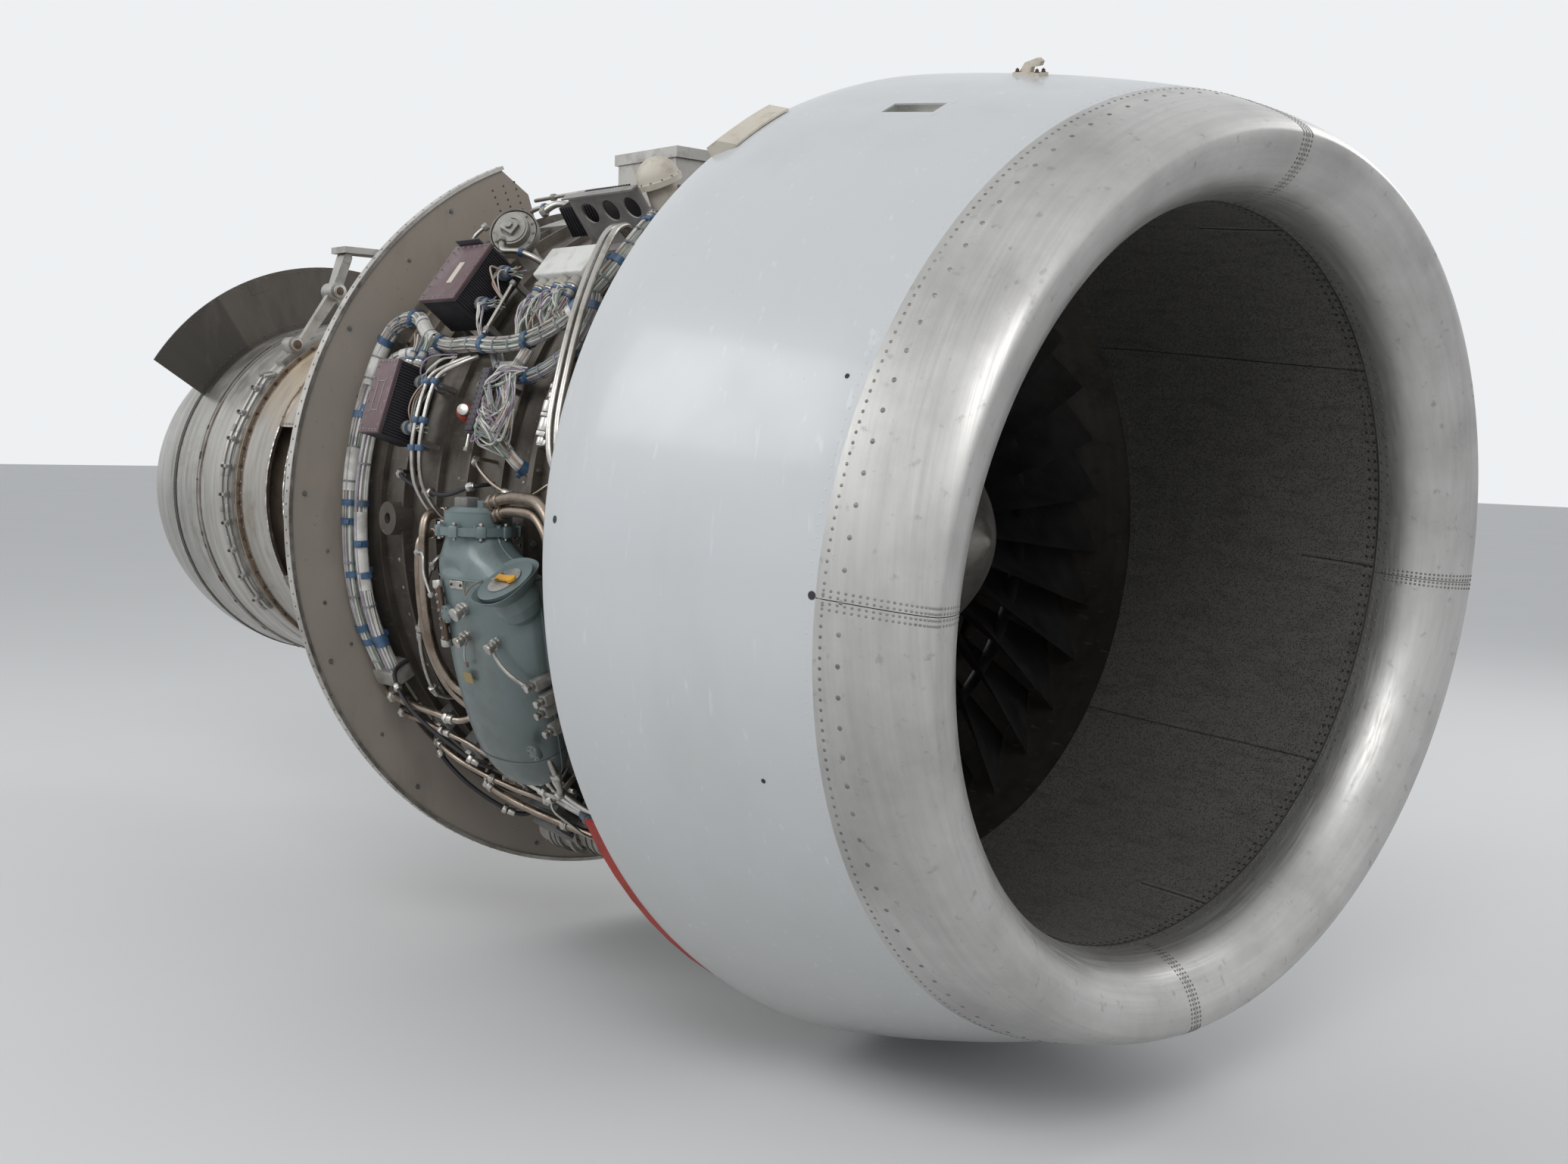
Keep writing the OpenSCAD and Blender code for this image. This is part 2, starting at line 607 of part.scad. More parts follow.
module exhaust_plug() {
    plug_end = -4120;
    color([0.50, 0.48, 0.46]) engine() turned(concat(
        [for (k = [0:7]) let (t = k / 8) [blend(-3190, plug_end, t), 300 * (1 - pow(t, 1.6))]],
            [[plug_end, 0]],
        [[plug_end + 14, 0]], [for (k = [7:-1:0]) let (t = k / 8)
            [blend(-3190, plug_end + 14, t), 300 * (1 - pow(t, 1.6)) - 5]]));
}

// Dark web standing across the top of the jet pipe
module upper_rear_web() {
    web_x = -3400;
    web_top = 910;
    reach = 57;
    color([0.27, 0.265, 0.26]) engine() union() {
        sector([[web_x, nozzle_r - 2], [web_x + 8, nozzle_r - 2], [web_x + 2, web_top],
            [web_x - 6, web_top]],
            -reach, reach);
        sector(band(web_x - 12, web_x + 40, nozzle_r - 2, nozzle_r + 4), -reach + 1, reach - 1);
    }
}

module rear_mount() {
    base_x = -2955;
    lug_r = 812;
    foot_r = core_r + 48;
    plate_z = 938;
    plate_h = 24;
    color([0.63, 0.62, 0.60]) engine() difference() {
        union() {
            sector(concat(mount_seat, [[-2990, core_r + 30], [-2935, core_r + 30]]), -43, 43);
            for (side = [-1, 1]) {
                // Each boss is closed by its own pin, whose ends stand proud
                at(base_x, side * 36, foot_r) along_x(30, 60);
                at(base_x, side * 36, foot_r) along_x(15, 76);
                at(base_x, side * 17, lug_r) along_x(34, 80);
                at(base_x, side * 17, lug_r) along_x(18, 100);
                hull() {
                    at(base_x, side * 33, core_r + 34) along_x(16, 26, $fn = 32);
                    at(base_x, side * 17, lug_r - 6) along_x(22, 26, $fn = 32);
                }
                hull() {
                    at(base_x, side * 9, core_r + 40) along_x(22, 26, $fn = 32);
                    at(base_x, side * 17, lug_r - 6) along_x(22, 26, $fn = 32);
                }
                hull() {
                    at(base_x, side * 17, lug_r) along_x(20, 40, $fn = 32);
                    at(base_x, side * 12, plate_z - 8) along_x(18, 60, $fn = 32);
                }
            }
            translate([base_x, 0, plate_z]) cube([110, 440, plate_h], center = true);
        }
        for (x = [-1, 1], y = [-1, 1])
            translate([base_x + x * rear_pitch_x / 2, y * rear_pitch_y / 2, plate_z - plate_h])
                post(rear_hole_r, 2 * plate_h);
    }
}

module front_mount() {
    pad_h = 34;
    web = 16;
    web_x = mount_pitch_x / 2 + 30;
    web_y = mount_pitch_y / 2 + 25;
    web_h = front_mount_top - pad_h + 1 - case_r;
    color([0.60, 0.59, 0.57]) engine() difference() {
        union() {
            sector(band(-1330, -970, case_r - 2, case_r + 26), -24, 24);
            translate([front_mount_x, 0, front_mount_top - pad_h / 2])
                cube([2 * web_x + 40, 2 * web_y + 30, pad_h], center = true);
            translate([front_mount_x, 0, case_r + web_h / 2]) {
                for (x = [-web_x, 0, web_x]) translate([x, 0, 0]) cube([web, 2 * web_y, web_h],
                    center = true);
                for (y = [-web_y, web_y]) translate([0, y, 0]) cube([2 * web_x + web, web, web_h],
                    center = true);
            }
        }
        for (x = [-1, 1], y = [-1, 1])
            translate([front_mount_x + x * mount_pitch_x / 2, y * mount_pitch_y / 2,
                front_mount_top - pad_h - 10])
                post(mount_hole_r, pad_h + 20);
    }
}

/* Bearings and rotors */
module bearing(x, w, shaft_r, seat_r) {
    turned(band(x - w / 2, x + w / 2, shaft_r + shaft_gap, seat_r));
}

module bearings() {
    color([0.75, 0.75, 0.77]) engine() union() {
        bearing(-505, 40, lp_shaft_r, 74);
        bearing(-3000, 44, lp_shaft_r, 72);
        bearing(-1038, 16, ip_shaft_r, 104);
        bearing(-2268, 12, ip_shaft_r, 104);
        bearing(-1182, 16, core_shaft_r, 134);
        bearing(-2228, 22, core_shaft_r, 128);
    }
}

function spinner_line(inset) = [for (k = [0:9]) let (t = k / 9, u = 1 - t)
    [-118 + (spinner_tip_x + 118 - inset) * u, t == 0 ? 0 : (308 - inset) * pow(sin(90 * t), 0.92)]];
module spinner() {
    color([0.42, 0.40, 0.38]) engine() turned(concat(spinner_line(0), reversed(spinner_line(5))));
}

function hub_line(x) = blend(308, 344, (x + 118) / -222);
module fan_disc() {
    color([0.40, 0.39, 0.38]) engine() union() {
        turned([[-118, 268], [-118, 308], [-340, 344], [-340, 332], [-330, 300], [-290, 292],
            [-260, 180], [-250, lp_shaft_r + 14], [-250, lp_shaft_r], [-150, lp_shaft_r],
                [-150, lp_shaft_r + 14],
            [-160, 180], [-165, 256]]);
    }
}

// One face of a fan blade from edge to edge: share of the chord, of the camber and of the thickness
blade_face = [[0.5, 0, 0.14], [0.25, 0.7, 0.5], [-0.15, 1, 0.5], [-0.5, 0, 0.14]];
// Section of a fan blade at a radius, twisting from nearly axial to nearly across
function fan_section(r) = let (t = (r - 300) / (duct_r - 300), chord = blend(225, 265, t), w = blend(16,
    7, t),
    twist = blend(12, 60, pow(t, 0.85)), bow = blend(26, 9, t), x0 = blend(-226, -190, t))
    [for (face = [1, -1], q = face > 0 ? blade_face : reversed(blade_face))
        let (a = q[0] * chord, b = bow * q[1] + w * face * q[2] - bow / 2,
            px = x0 + a * cos(twist) - b * sin(twist), py = a * sin(twist) + b * cos(twist))
        [px, py, sqrt(r * r - py * py)]];
module fan_blades() {
    tip_r = case_skin_r - tip_gap;
    steps = 7;
    clapper_r = 655;
    color([0.36, 0.355, 0.35]) engine() for (i = [0:fan_blade_count - 1])
        rotate([360 * i / fan_blade_count, 0, 0]) {
        lofted([for (k = [0:steps]) fan_section(blend(hub_line(-226) - 6, tip_r, k / steps))], true);
        sector([[-188, clapper_r - 6], [-212, clapper_r - 9], [-236, clapper_r - 6], [-236, clapper_r + 2],
            [-212, clapper_r + 5], [-188, clapper_r + 2]], -178 / fan_blade_count, 178 / fan_blade_count);
    }
}

module lp_shaft() {
    color([0.58, 0.57, 0.56]) engine() turned(band(-3030, -110, 28, lp_shaft_r));
}

module disc(x, w, bore, rim, rim_w) {
    turned([[x + w / 2 + 8, bore], [x + w / 2 + 8, bore + 16], [x + w / 2, bore + 26],
        [x + w / 2, rim - 22],
        [x + rim_w / 2, rim - 12], [x + rim_w / 2, rim], [x - rim_w / 2, rim], [x - rim_w / 2, rim - 12],
        [x - w / 2, rim - 22], [x - w / 2, bore + 26], [x - w / 2 - 8, bore + 16], [x - w / 2 - 8, bore]]);
}

module lp_turbine() {
    color([0.47, 0.44, 0.41]) engine() union() {
        disc(-2440, 16, lp_shaft_r - 1, 308, 60);
        disc(-2568, 16, lp_shaft_r - 1, 322, 60);
        disc(-2700, 16, lp_shaft_r - 1, 336, 60);
        turned(band(-2700, -2440, 230, 236));
        blade_row(-2440, 305, 436, row_blades, 44, 6, -30);
        blade_row(-2568, 319, 484, row_blades, 44, 6, -30);
        blade_row(-2700, 333, 534, row_blades, 44, 6, -30);
    }
}

module ip_rotor() {
    color([0.50, 0.49, 0.48]) engine() union() {
        turned([[-584, 350], [-584, 360], [-1000, 386], [-1000, 376]]);
        disc(-600, 14, ip_shaft_r - 1, 358, 30);
        disc(-960, 14, ip_shaft_r - 1, 380, 30);
        for (k = [0:5]) let (x = -596 - 73 * k)
            blade_row(x, 352 + 4.4 * k, ip_wall(x - 14) - rotor_gap, row_blades, 30, 4, 38);
    }
}

module ip_turbine() {
    color([0.46, 0.43, 0.40]) engine() union() {
        turned(band(-2350, -580, 64, ip_shaft_r));
        disc(-2325, 18, ip_shaft_r - 1, 300, 56);
        blade_row(-2325, 297, 386, row_blades, 44, 6, -28);
    }
}

module core_rotor() {
    color([0.50, 0.48, 0.46]) engine() union() {
        turned([[-1232, 300], [-1232, 310], [-1640, 326], [-1640, 316]]);
        disc(-1250, 14, core_shaft_r - 1, 308, 30);
        disc(-1600, 14, core_shaft_r - 1, 320, 30);
        for (k = [0:5]) let (x = -1257 - 70 * k)
            blade_row(x, 304 + 3 * k, core_wall(x - 12) - rotor_gap, row_blades, 26, 4, 38);
    }
}

module core_turbine() {
    color([0.46, 0.42, 0.38]) engine() union() {
        turned(band(-2240, -1174, 92, core_shaft_r));
        disc(-2170, 20, core_shaft_r - 1, 294, 56);
        blade_row(-2170, 291, 386, row_blades, 42, 7, -28);
    }
}

/* Oil tank */
// Outline of the tank at an angle round the case: centre station, half width, half depth
function tank_ring(a, cx, w, d) =
    [for (k = [0:23]) let (q = 15 * k, c = cos(q), s = sin(q))
        around(cx + w * sign(c) * pow(abs(c), 0.8), a, tank_r + d * sign(s) * pow(abs(s), 0.8))];
tank_stations = [[89.5, -570, 92, 74], [91, -570, 98, 78], [92.5, -566, 120, 82], [94.5, -545, 165, 88],
    [97.5, -510, 200, 92], [102, -505, 205, 92], [108, -520, 203, 92], [114, -545, 196, 91],
    [119, -575, 186, 88], [123, -600, 172, 84], [126, -618, 150, 76], [128.2, -630, 112, 60],
        [129.4, -636, 60, 34]];

module oil_tank() {
    color([0.44, 0.51, 0.51]) engine() union() {
        lofted([for (q = tank_stations)
            tank_ring(q[0], q[1], q[2] * tank_half_w / 205, q[3] * tank_half_d / 92)]);
        for (a = [96, 118]) at(-570, a, case_r - sink) translate([-60, -12, 0]) cube([120, 24, 60]);
    }
}

module tank_top_cap() {
    color([0.47, 0.54, 0.54]) engine() at(-570, 90, tank_r) rotate([-90, 0, 0]) union() {
        translate([0, 0, -12]) post(tank_flange_r, 22);
        post(88, 46);
        translate([0, 0, 46]) cylinder(r1 = 88, r2 = 66, h = 14);
        for (i = [0:9]) rotate([0, 0, 36 * i]) translate([97, 0, 8]) bolt_head(6, 9);
        translate([30, 0, 56]) post(20, 22);
        translate([-34, 14, 56]) post(15, 18);
    }
}

module at_neck() { at(neck_x, neck_angle, neck_r) rotate([neck_tilt, 0, 0]) children(); }

module filler_neck() {
    seat = filler_cap_r + cap_gap;
    color([0.42, 0.49, 0.49]) engine() at_neck() union() {
        rotate_extrude() polygon([[0, -46], [30, -42], [52, -20], [60, 8], [62, neck_h - 12],
            [74, neck_h - 10],
            [76, neck_h], [seat, neck_h], [seat, neck_h - 20], [34, neck_h - 20], [30, 0], [0, 0]]);
    }
}

module filler_cap() {
    color([0.66, 0.66, 0.64]) engine() at_neck() translate([0, 0, neck_h - 20 + 0.3]) difference() {
        union() {
            post(filler_cap_r, cap_h + 9);
            for (side = [-1, 1]) translate([-30, side * 13 - 3, cap_h + 8]) cube([16, 6, 12]);
        }
        translate([-22, 0, cap_h + 14.5]) rotate([90, 0, 0]) cylinder(r = 2.5, h = 60, center = true,
            $fn = 24);
    }
}

// Flip lever on its pin, folded flat on the cap
module filler_lever() {
    pin_z = neck_h - 20 + 0.3 + cap_h + 14.5;
    color([0.85, 0.62, 0.08]) engine() at_neck() union() {
        translate([-22, 0, pin_z]) rotate([90, 0, 0]) cylinder(r = 2.45, h = 34, center = true, $fn = 24);
        translate([-25, -8, pin_z - 3]) cube([lever_l, 16, lever_h]);
        translate([lever_l - 34, 0, pin_z - 3]) post(12, lever_h);
    }
}

/* Boxes and fittings on the fan case */
// Closed box standing on four feet, finned on its forward and lower faces
module finned_box(size, base) {
    fin = 5;
    translate([-size[0] / 2, -size[1] / 2, base]) cube([size[0], size[1], size[2] - 8]);
    translate([-size[0] / 2 - 6, -size[1] / 2 - 6, base + size[2] - 8]) cube([size[0] + 12, size[1] + 12,
        8]);
    for (i = [0:fin_count - 1]) {
        translate([size[0] / 2 - 1, -size[1] / 2 + (i + 0.5) * size[1] / fin_count - 2, base + 4])
            cube([fin + 1, 4, size[2] - 16]);
        translate([-size[0] / 2 + (i + 0.5) * size[0] / fin_count - 2, -size[1] / 2 - fin, base + 4])
            cube([4, fin + 1, size[2] - 16]);
    }
    for (x = [-1, 1], y = [-1, 1]) translate([x * (size[0] / 2 - 18) - 8, y * (size[1] / 2 - 18) - 8, 0])
        cube([16, 16, base + 4]);
}

module upper_control_box() {
    color([0.37, 0.26, 0.28]) engine() at(-950, 53, case_r - sink - 8) finned_box(upper_box, 76);
}

module lower_control_box() {
    color([0.37, 0.26, 0.28]) engine() at(-1045, 72.5, case_r - sink - 8) finned_box(lower_box, 76);
}

// Pale box, black ribbed box and dome canister near the top
module small_boxes() {
    color([0.74, 0.75, 0.74]) engine() union() {
        at(-515, 50, case_r - sink) {
            translate([-112, -50, 100]) cube([224, 100, 62]);
            for (x = [-80, 80]) translate([x - 10, -20, 0]) cube([20, 40, 104]);
        }
        at(-735, 33.4, case_r - sink) {
            translate([-105, -54, 62]) cube([210, 108, 90]);
            for (i = [0:8]) translate([-104 + 25 * i, -58, 62]) cube([6, 116, 96]);
            for (x = [-70, 70]) translate([x - 12, -20, 0]) cube([24, 40, 66]);
        }
        at(-590, 27, case_r - sink) {
            post(44, 130);
            translate([0, 0, 124]) post(66, 16);
            translate([0, 0, 138]) intersection() {
                sphere(64);
                post(64, 64);
            }
        }
    }
}

module holed_bracket() {
    plate = 5;
    l = 320;
    h = 169;
    color([0.56, 0.56, 0.55]) engine() at(-560, 38, joint_flange_r + 1) difference() {
        union() {
            translate([-l / 2, -plate / 2, 0]) cube([l, plate, h]);
            translate([-l / 2, -40, 0]) cube([l, 40, 8]);
            translate([-l / 2, -22, h - plate]) cube([l, 22, plate]);
            for (x = [-l / 2 + 8, l / 2 - 20]) translate([x, -30, -38]) cube([14, 24, 40]);
        }
        for (x = [-95, 0, 95]) translate([x, 0, h - 62]) rotate([90, 0, 0]) cylinder(r = 32, h = 20,
            center = true);
    }
}

// Round valve with a square port on its face
module pressure_valve() {
    color([0.70, 0.69, 0.66]) engine() at(-1047, 38.5, case_r - sink) union() {
        post(30, 110);
        translate([0, 0, 116]) rotate([22, 38, 0]) {
            translate([0, 0, -22]) post(66, 30);
            post(50, 36);
            translate([-20, -18, 30]) cube([40, 36, 24]);
            translate([0, 0, -40]) post(44, 30);
        }
        translate([-80, 0, 84]) rotate([0, 90, 0]) post(24, 90);
        translate([-84, 0, 84]) rotate([0, 90, 0]) post(40, 10);
    }
}

module terminal_strip() {
    color([0.27, 0.24, 0.27]) engine() union() {
        at(-668, 71.5, case_r - sink) {
            translate([-16, -86, 92]) cube([32, 172, 34]);
            translate([-24, -92, 100]) cube([48, 12, 20]);
            translate([-24, 80, 100]) cube([48, 12, 20]);
            for (y = [-60, 60]) translate([-8, y - 8, 0]) cube([16, 16, 96]);
        }
        at(-330, 73.5, case_r - sink) {
            translate([0, 84, 118]) rotate([90, 0, 0]) post(13, 168);
            for (y = [-40, 10, 56]) translate([0, y, 118]) rotate([90, 0, 0]) bolt_head(20, 22);
            for (y = [-56, 48]) translate([-6, y - 8, 0]) cube([12, 16, 110]);
        }
    }
}

// Round plugs under the pale box and on the control boxes: station, angle, height, tip direction
connector_places = [[-590, 53.4, 1082, 18], [-545, 53.4, 1082, 15], [-495, 53.4, 1082, 22],
    [-440, 53.4, 1082, 18]];
module connectors() {
    color([0.62, 0.60, 0.57]) engine() union() {
        for (p = connector_places) at(p[0], p[1], p[2]) rotate([90, 0, 0]) {
            translate([0, 0, -16]) post(p[3], 42);
            translate([0, 0, 20]) post(p[3] - 4, 34);
            post(p[3] + 4, 8);
        }
        for (a = [50, 56]) at(-858, a, 1080) rotate([0, 90, 0]) {
            translate([0, 0, -14]) post(17, 46);
            translate([0, 0, 8]) post(21, 8);
        }
        for (x = [-1072, -1020]) at(x, 66.7, 1080) rotate([-90, 0, 0]) {
            translate([0, 0, -14]) post(16, 44);
            translate([0, 0, 8]) post(20, 8);
        }
        for (a = [69, 76]) at(-990, a, 1075) rotate([0, 90, 0]) {
            translate([0, 0, -14]) post(16, 42);
            translate([0, 0, 8]) post(20, 8);
        }
        at(-1338, 118.5, case_r - sink) translate([-56, -25, 0]) cube([112, 50, 88]);
    }
}

/* Harnesses and pipes: each route is a list of station, angle and radius */
rear_bundle = [[-1370, 117.6, 1008], [-1380, 108, 1012], [-1378, 98, 1012], [-1372, 86, 1012],
    [-1376, 76, 1014],
    [-1380, 67, 1020], [-1370, 61, 1032], [-1320, 57.5, 1048], [-1200, 57, 1056], [-1080, 60.5, 1052],
    [-960, 62, 1046], [-830, 62, 1050], [-700, 62.5, 1054], [-580, 62, 1056], [-480, 60, 1056],
    [-400, 57, 1062], [-350, 53, 1070], [-332, 48, 1074], [-345, 43, 1072], [-375, 39.5, 1062],
        [-402, 38, 1056]];
front_bundle = [[-1305, 117.6, 1008], [-1308, 108, 1012], [-1306, 98, 1012], [-1302, 86, 1012],
    [-1304, 76, 1012],
    [-1300, 68, 1018], [-1270, 63.5, 1026], [-1190, 61.5, 1004], [-1080, 59.8, 990], [-960, 59.4, 988],
    [-840, 60.4, 992], [-700, 65.5, 1010], [-560, 66.5, 1012], [-440, 64, 1020], [-380, 61, 1032],
    [-350, 57, 1052], [-362, 54.4, 1066]];
strip_bundle = [[-560, 63, 1046], [-590, 67, 1042], [-610, 71, 1036], [-600, 75, 1030], [-570, 78, 1010],
    [-540, 80, 985], [-530, 81, port_r]];

module harness() {
    color([0.56, 0.55, 0.52]) engine() union() {
        tube(rear_bundle, harness_r, 2, 8);
        tube(front_bundle, harness_r - 3, 2, 8);
        tube(strip_bundle, harness_r - 5, 2, 8);
    }
}

clamp_places = [[-1377, 112], [-1375, 100], [-1372, 88], [-1378, 72]];
module harness_clamps() {
    color([0.20, 0.33, 0.50]) engine() union() {
        for (p = clamp_places) at(p[0], p[1], case_r - sink) {
            translate([-9, -9, 0]) cube([18, 18, 50]);
            translate([0, 9, 63]) rotate([90, 0, 0]) difference() {
                post(harness_r + 5, 18);
                translate([0, 0, -1]) post(harness_r - 0.5, 20);
            }
            translate([72, 9, 62]) rotate([90, 0, 0]) difference() {
                post(harness_r + 2, 18);
                translate([0, 0, -1]) post(harness_r - 3.5, 20);
            }
            translate([18, -9, 52]) cube([38, 18, 8]);
        }
    }
}

module oil_pipes() {
    color([0.58, 0.54, 0.50]) engine() union() {
        tube([[-500, 88.2, tank_r], [-440, 87.2, 1074], [-380, 87, 1076], [-300, 87.4, 1080],
            [-235, 90, 1086],
            [-212, 94, 1088], [-215, 99, 1086], [-212, 103, 1076], [-180, 106.5, 1050], [-150, 109, 1006],
            [-148, 110, port_r]], oil_pipe_r, 2, 10);
        tube([[-540, 86.6, tank_r], [-440, 85.4, 1078], [-350, 85.2, 1084], [-260, 85.8, 1096],
            [-190, 88.5, 1104],
            [-168, 93, 1104], [-168, 99, 1100], [-160, 104, 1084], [-120, 108, 1040], [-105, 110, 990],
            [-104, 110.5, port_r]], oil_pipe_r + 2, 2, 10);
        tube([[-905, 88.8, port_r], [-900, 88.5, 1000], [-890, 89.5, 1038], [-888, 94, 1048],
            [-905, 102, 1050],
            [-925, 110, 1048], [-905, 115.5, 1040], [-860, 119, 1020], [-820, 123, 985],
                [-812, 124, port_r]],
            oil_pipe_r, 2, 10);
        tube([[-950, 92, port_r], [-948, 92, 1000], [-944, 94, 1030], [-950, 102, 1040], [-965, 110, 1040],
            [-950, 117, 1034], [-900, 122, 1015], [-862, 126, 980], [-856, 127, port_r]], oil_pipe_r - 3,
                2, 10);
    }
}

rear_line_r = 7;
module small_pipes() {
    color([0.70, 0.69, 0.66]) engine() union() {
        for (k = [0, 1]) tube([[-380 - 34 * k, 43, port_r], [-378 - 34 * k, 43.2, 1070],
            [-366 - 34 * k, 44.4, 1112],
            [-330 - 34 * k, 48.5, 1130], [-262 - 34 * k, 58, 1132], [-205 - 34 * k, 68, 1134],
            [-172 - 34 * k, 77, 1134], [-150 - 30 * k, 82, 1100], [-140 - 30 * k, 84, port_r]], 9, 2, 8);
        for (k = [0:2]) tube([[-700 - 40 * k, 132, port_r], [-690 - 40 * k, 132.5, 1010],
            [-660 - 50 * k, 136, 1040],
            [-560 - 60 * k, 141, 1046], [-430 - 40 * k, 147 + 2 * k, 1040],
                [-360 - 20 * k, 152 + 2 * k, 1010],
            [-350 - 20 * k, 153 + 2 * k, port_r]], 9, 2, 8);
        // Each rear line's ends lie on the step of the exhaust case below it
        for (side = [-1, 1], k = [0, 1]) let (x = -2943 - 28 * k, seat = core_r + 5.4 + 7 * k + rear_line_r)
            tube([[x, side * 48, seat], [x - 2, side * 52, seat + 12], [x - 4, side * 75, seat + 14],
                [x - 2, side * 95, seat + 14], [x - 4, side * 115, seat + 14], [x, side * 128, seat + 12],
                [x, side * 132, seat]], rear_line_r, 2, 8);
    }
}

/* Gearbox under the fan case */
module accessory_gearbox() {
    $fn = 192;
    color([0.40, 0.40, 0.39]) engine() union() {
        sector(band(-985, -865, 990, 1085), 146, 214);
        sector(band(-995, -855, 1028, 1046), 144, 216);
        for (a = [150, 170, 190, 210]) at(-925, a,
            case_r - sink) translate([-20, -24, 0]) cube([40, 48, 46]);
    }
}

// Starter, generator, pumps: angle, radius from the axis, body radius, length, forward or aft of the gearbox
unit_places = [[152, 1042, 58, 210, 1], [166, 1062, 78, 260, 1], [182, 1050, 66, 190, 1],
    [197, 1066, 82, 250, 1],
    [210, 1038, 52, 170, 1], [157, 1046, 62, 180, -1], [175, 1058, 74, 230, -1], [193, 1044, 58, 170, -1],
    [206, 1050, 66, 200, -1]];
module gearbox_units() {
    color([0.46, 0.46, 0.44]) engine() union() for (u = unit_places) {
        face = u[4] > 0 ? -865 : -985;
        at(face + u[4] * (u[3] / 2 - 2), u[0], u[1]) along_x(u[2] * 0.86, u[3]);
        at(face + u[4] * 7, u[0], u[1]) along_x(u[2], 18);
        at(face + u[4] * (u[3] * 0.55), u[0], u[1]) along_x(u[2], u[3] * 0.34);
        at(face + u[4] * (u[3] + 8), u[0], u[1]) along_x(u[2] * 0.45, 26);
    }
}

intake_lip();
lip_bulkhead();
intake_cowl();
intake_barrel();
intake_rear_ring();
flush_scoop();
crown_fittings();
seal_strip();
fan_case();
rear_fan_case();
outlet_vanes();
bulkhead_ring();
splitter_fairing();
front_bearing_housing();
ip_compressor_case();
intermediate_case();
core_compressor_case();
combustion_case();
combustor();
fuel_nozzles();
turbine_case();
turbine_bearing_support();
exhaust_case();
core_fairing();
core_rear_panel();
joint_bolts();
jet_pipe();
exhaust_nozzle();
exhaust_plug();
upper_rear_web();
rear_mount();
front_mount();
bearings();
spinner();
fan_disc();
fan_blades();
lp_shaft();
lp_turbine();
ip_rotor();
ip_turbine();
core_rotor();
core_turbine();
oil_tank();
tank_top_cap();
filler_neck();
filler_cap();
filler_lever();
upper_control_box();
lower_control_box();
small_boxes();
holed_bracket();
pressure_valve();
terminal_strip();
connectors();
harness();
harness_clamps();
oil_pipes();
small_pipes();
accessory_gearbox();
gearbox_units();
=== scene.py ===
import math
import random

import bmesh
import bpy
from mathutils import Matrix, Vector, noise


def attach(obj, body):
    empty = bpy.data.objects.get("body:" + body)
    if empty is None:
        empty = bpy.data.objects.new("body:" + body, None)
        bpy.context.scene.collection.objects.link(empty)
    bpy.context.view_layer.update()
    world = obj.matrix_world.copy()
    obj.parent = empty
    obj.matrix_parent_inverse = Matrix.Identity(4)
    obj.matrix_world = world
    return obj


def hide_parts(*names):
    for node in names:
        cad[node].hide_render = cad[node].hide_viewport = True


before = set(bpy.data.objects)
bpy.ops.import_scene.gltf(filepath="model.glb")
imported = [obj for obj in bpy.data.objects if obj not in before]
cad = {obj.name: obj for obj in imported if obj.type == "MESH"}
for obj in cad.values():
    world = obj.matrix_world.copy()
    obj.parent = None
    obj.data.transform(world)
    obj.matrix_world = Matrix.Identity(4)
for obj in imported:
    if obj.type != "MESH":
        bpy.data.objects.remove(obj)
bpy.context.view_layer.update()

# Engine axis in the part's own frame, whose origin is on top of the front mount
AXIS = Vector((1.150, 0.0, -1.150))

# Sizes that the part's source gives, in metres
DROOP = 5.0
LIP_X, LIP_Z, LIP_DEPTH = 0.805, -0.056, 0.248
HIGHLIGHT_R, THROAT_R, THROAT_S, BARREL_S = 1.053, 0.900, 0.076, 0.046
CROWN_R, CROWN_X, COWL_REAR_R, COWL_REAR_X, COWL_REAR_Z = 1.252, 0.120, 1.230, -0.040, -0.029
BELLY_DROP, SKIN = 0.075, 0.004
CASE_R = 0.950
FAN_BLADES, BLADE_ROOT, BLADE_TIP, CLAPPER_R = 33, 0.318, 0.929, 0.655
SPINNER_X, SPINNER_LENGTH, SPINNER_R = -0.118, 0.363, 0.308
LINER_REAR_R, LINER_WALL = 0.930, 0.030

# Radius just inside the case's skin, where the feet of the equipment stand
SEAT_R = 0.947

# Camera fitted to the photo: degrees, millimetres and metres
HEADING, TILT, ROLL = 47.97, 4.60, 1.63
LENS, SENSOR = 40.68, 36.0
CAMERA_PLACE = (4.526, -3.555, -0.893)

# Strength of the room as it lights the engine, and as camera, metal and glass see it
LIGHT_LEVEL, SEEN_LEVEL = 0.52, 0.92

# Floor, just below the engine's lowest point
FLOOR_Z = -2.53


def photo_camera():
    """Camera that sees the engine as the photo does."""
    heading, tilt, roll = math.radians(HEADING), math.radians(TILT), math.radians(ROLL)
    ahead = Vector((-math.sin(heading) * math.cos(tilt), math.cos(heading) * math.cos(tilt), -math.sin(tilt)))
    right = ahead.cross(Vector((0, 0, 1))).normalized()
    up = right.cross(ahead)
    side = math.cos(roll) * right + math.sin(roll) * up
    top = math.cos(roll) * up - math.sin(roll) * right
    camera = bpy.data.objects.new("camera", bpy.data.cameras.new("camera"))
    bpy.context.scene.collection.objects.link(camera)
    camera.data.lens, camera.data.sensor_width = LENS, SENSOR
    camera.data.clip_end = 200
    camera.matrix_world = Matrix((side, top, -ahead)).transposed().to_4x4()
    camera.location = CAMERA_PLACE
    bpy.context.scene.camera = camera


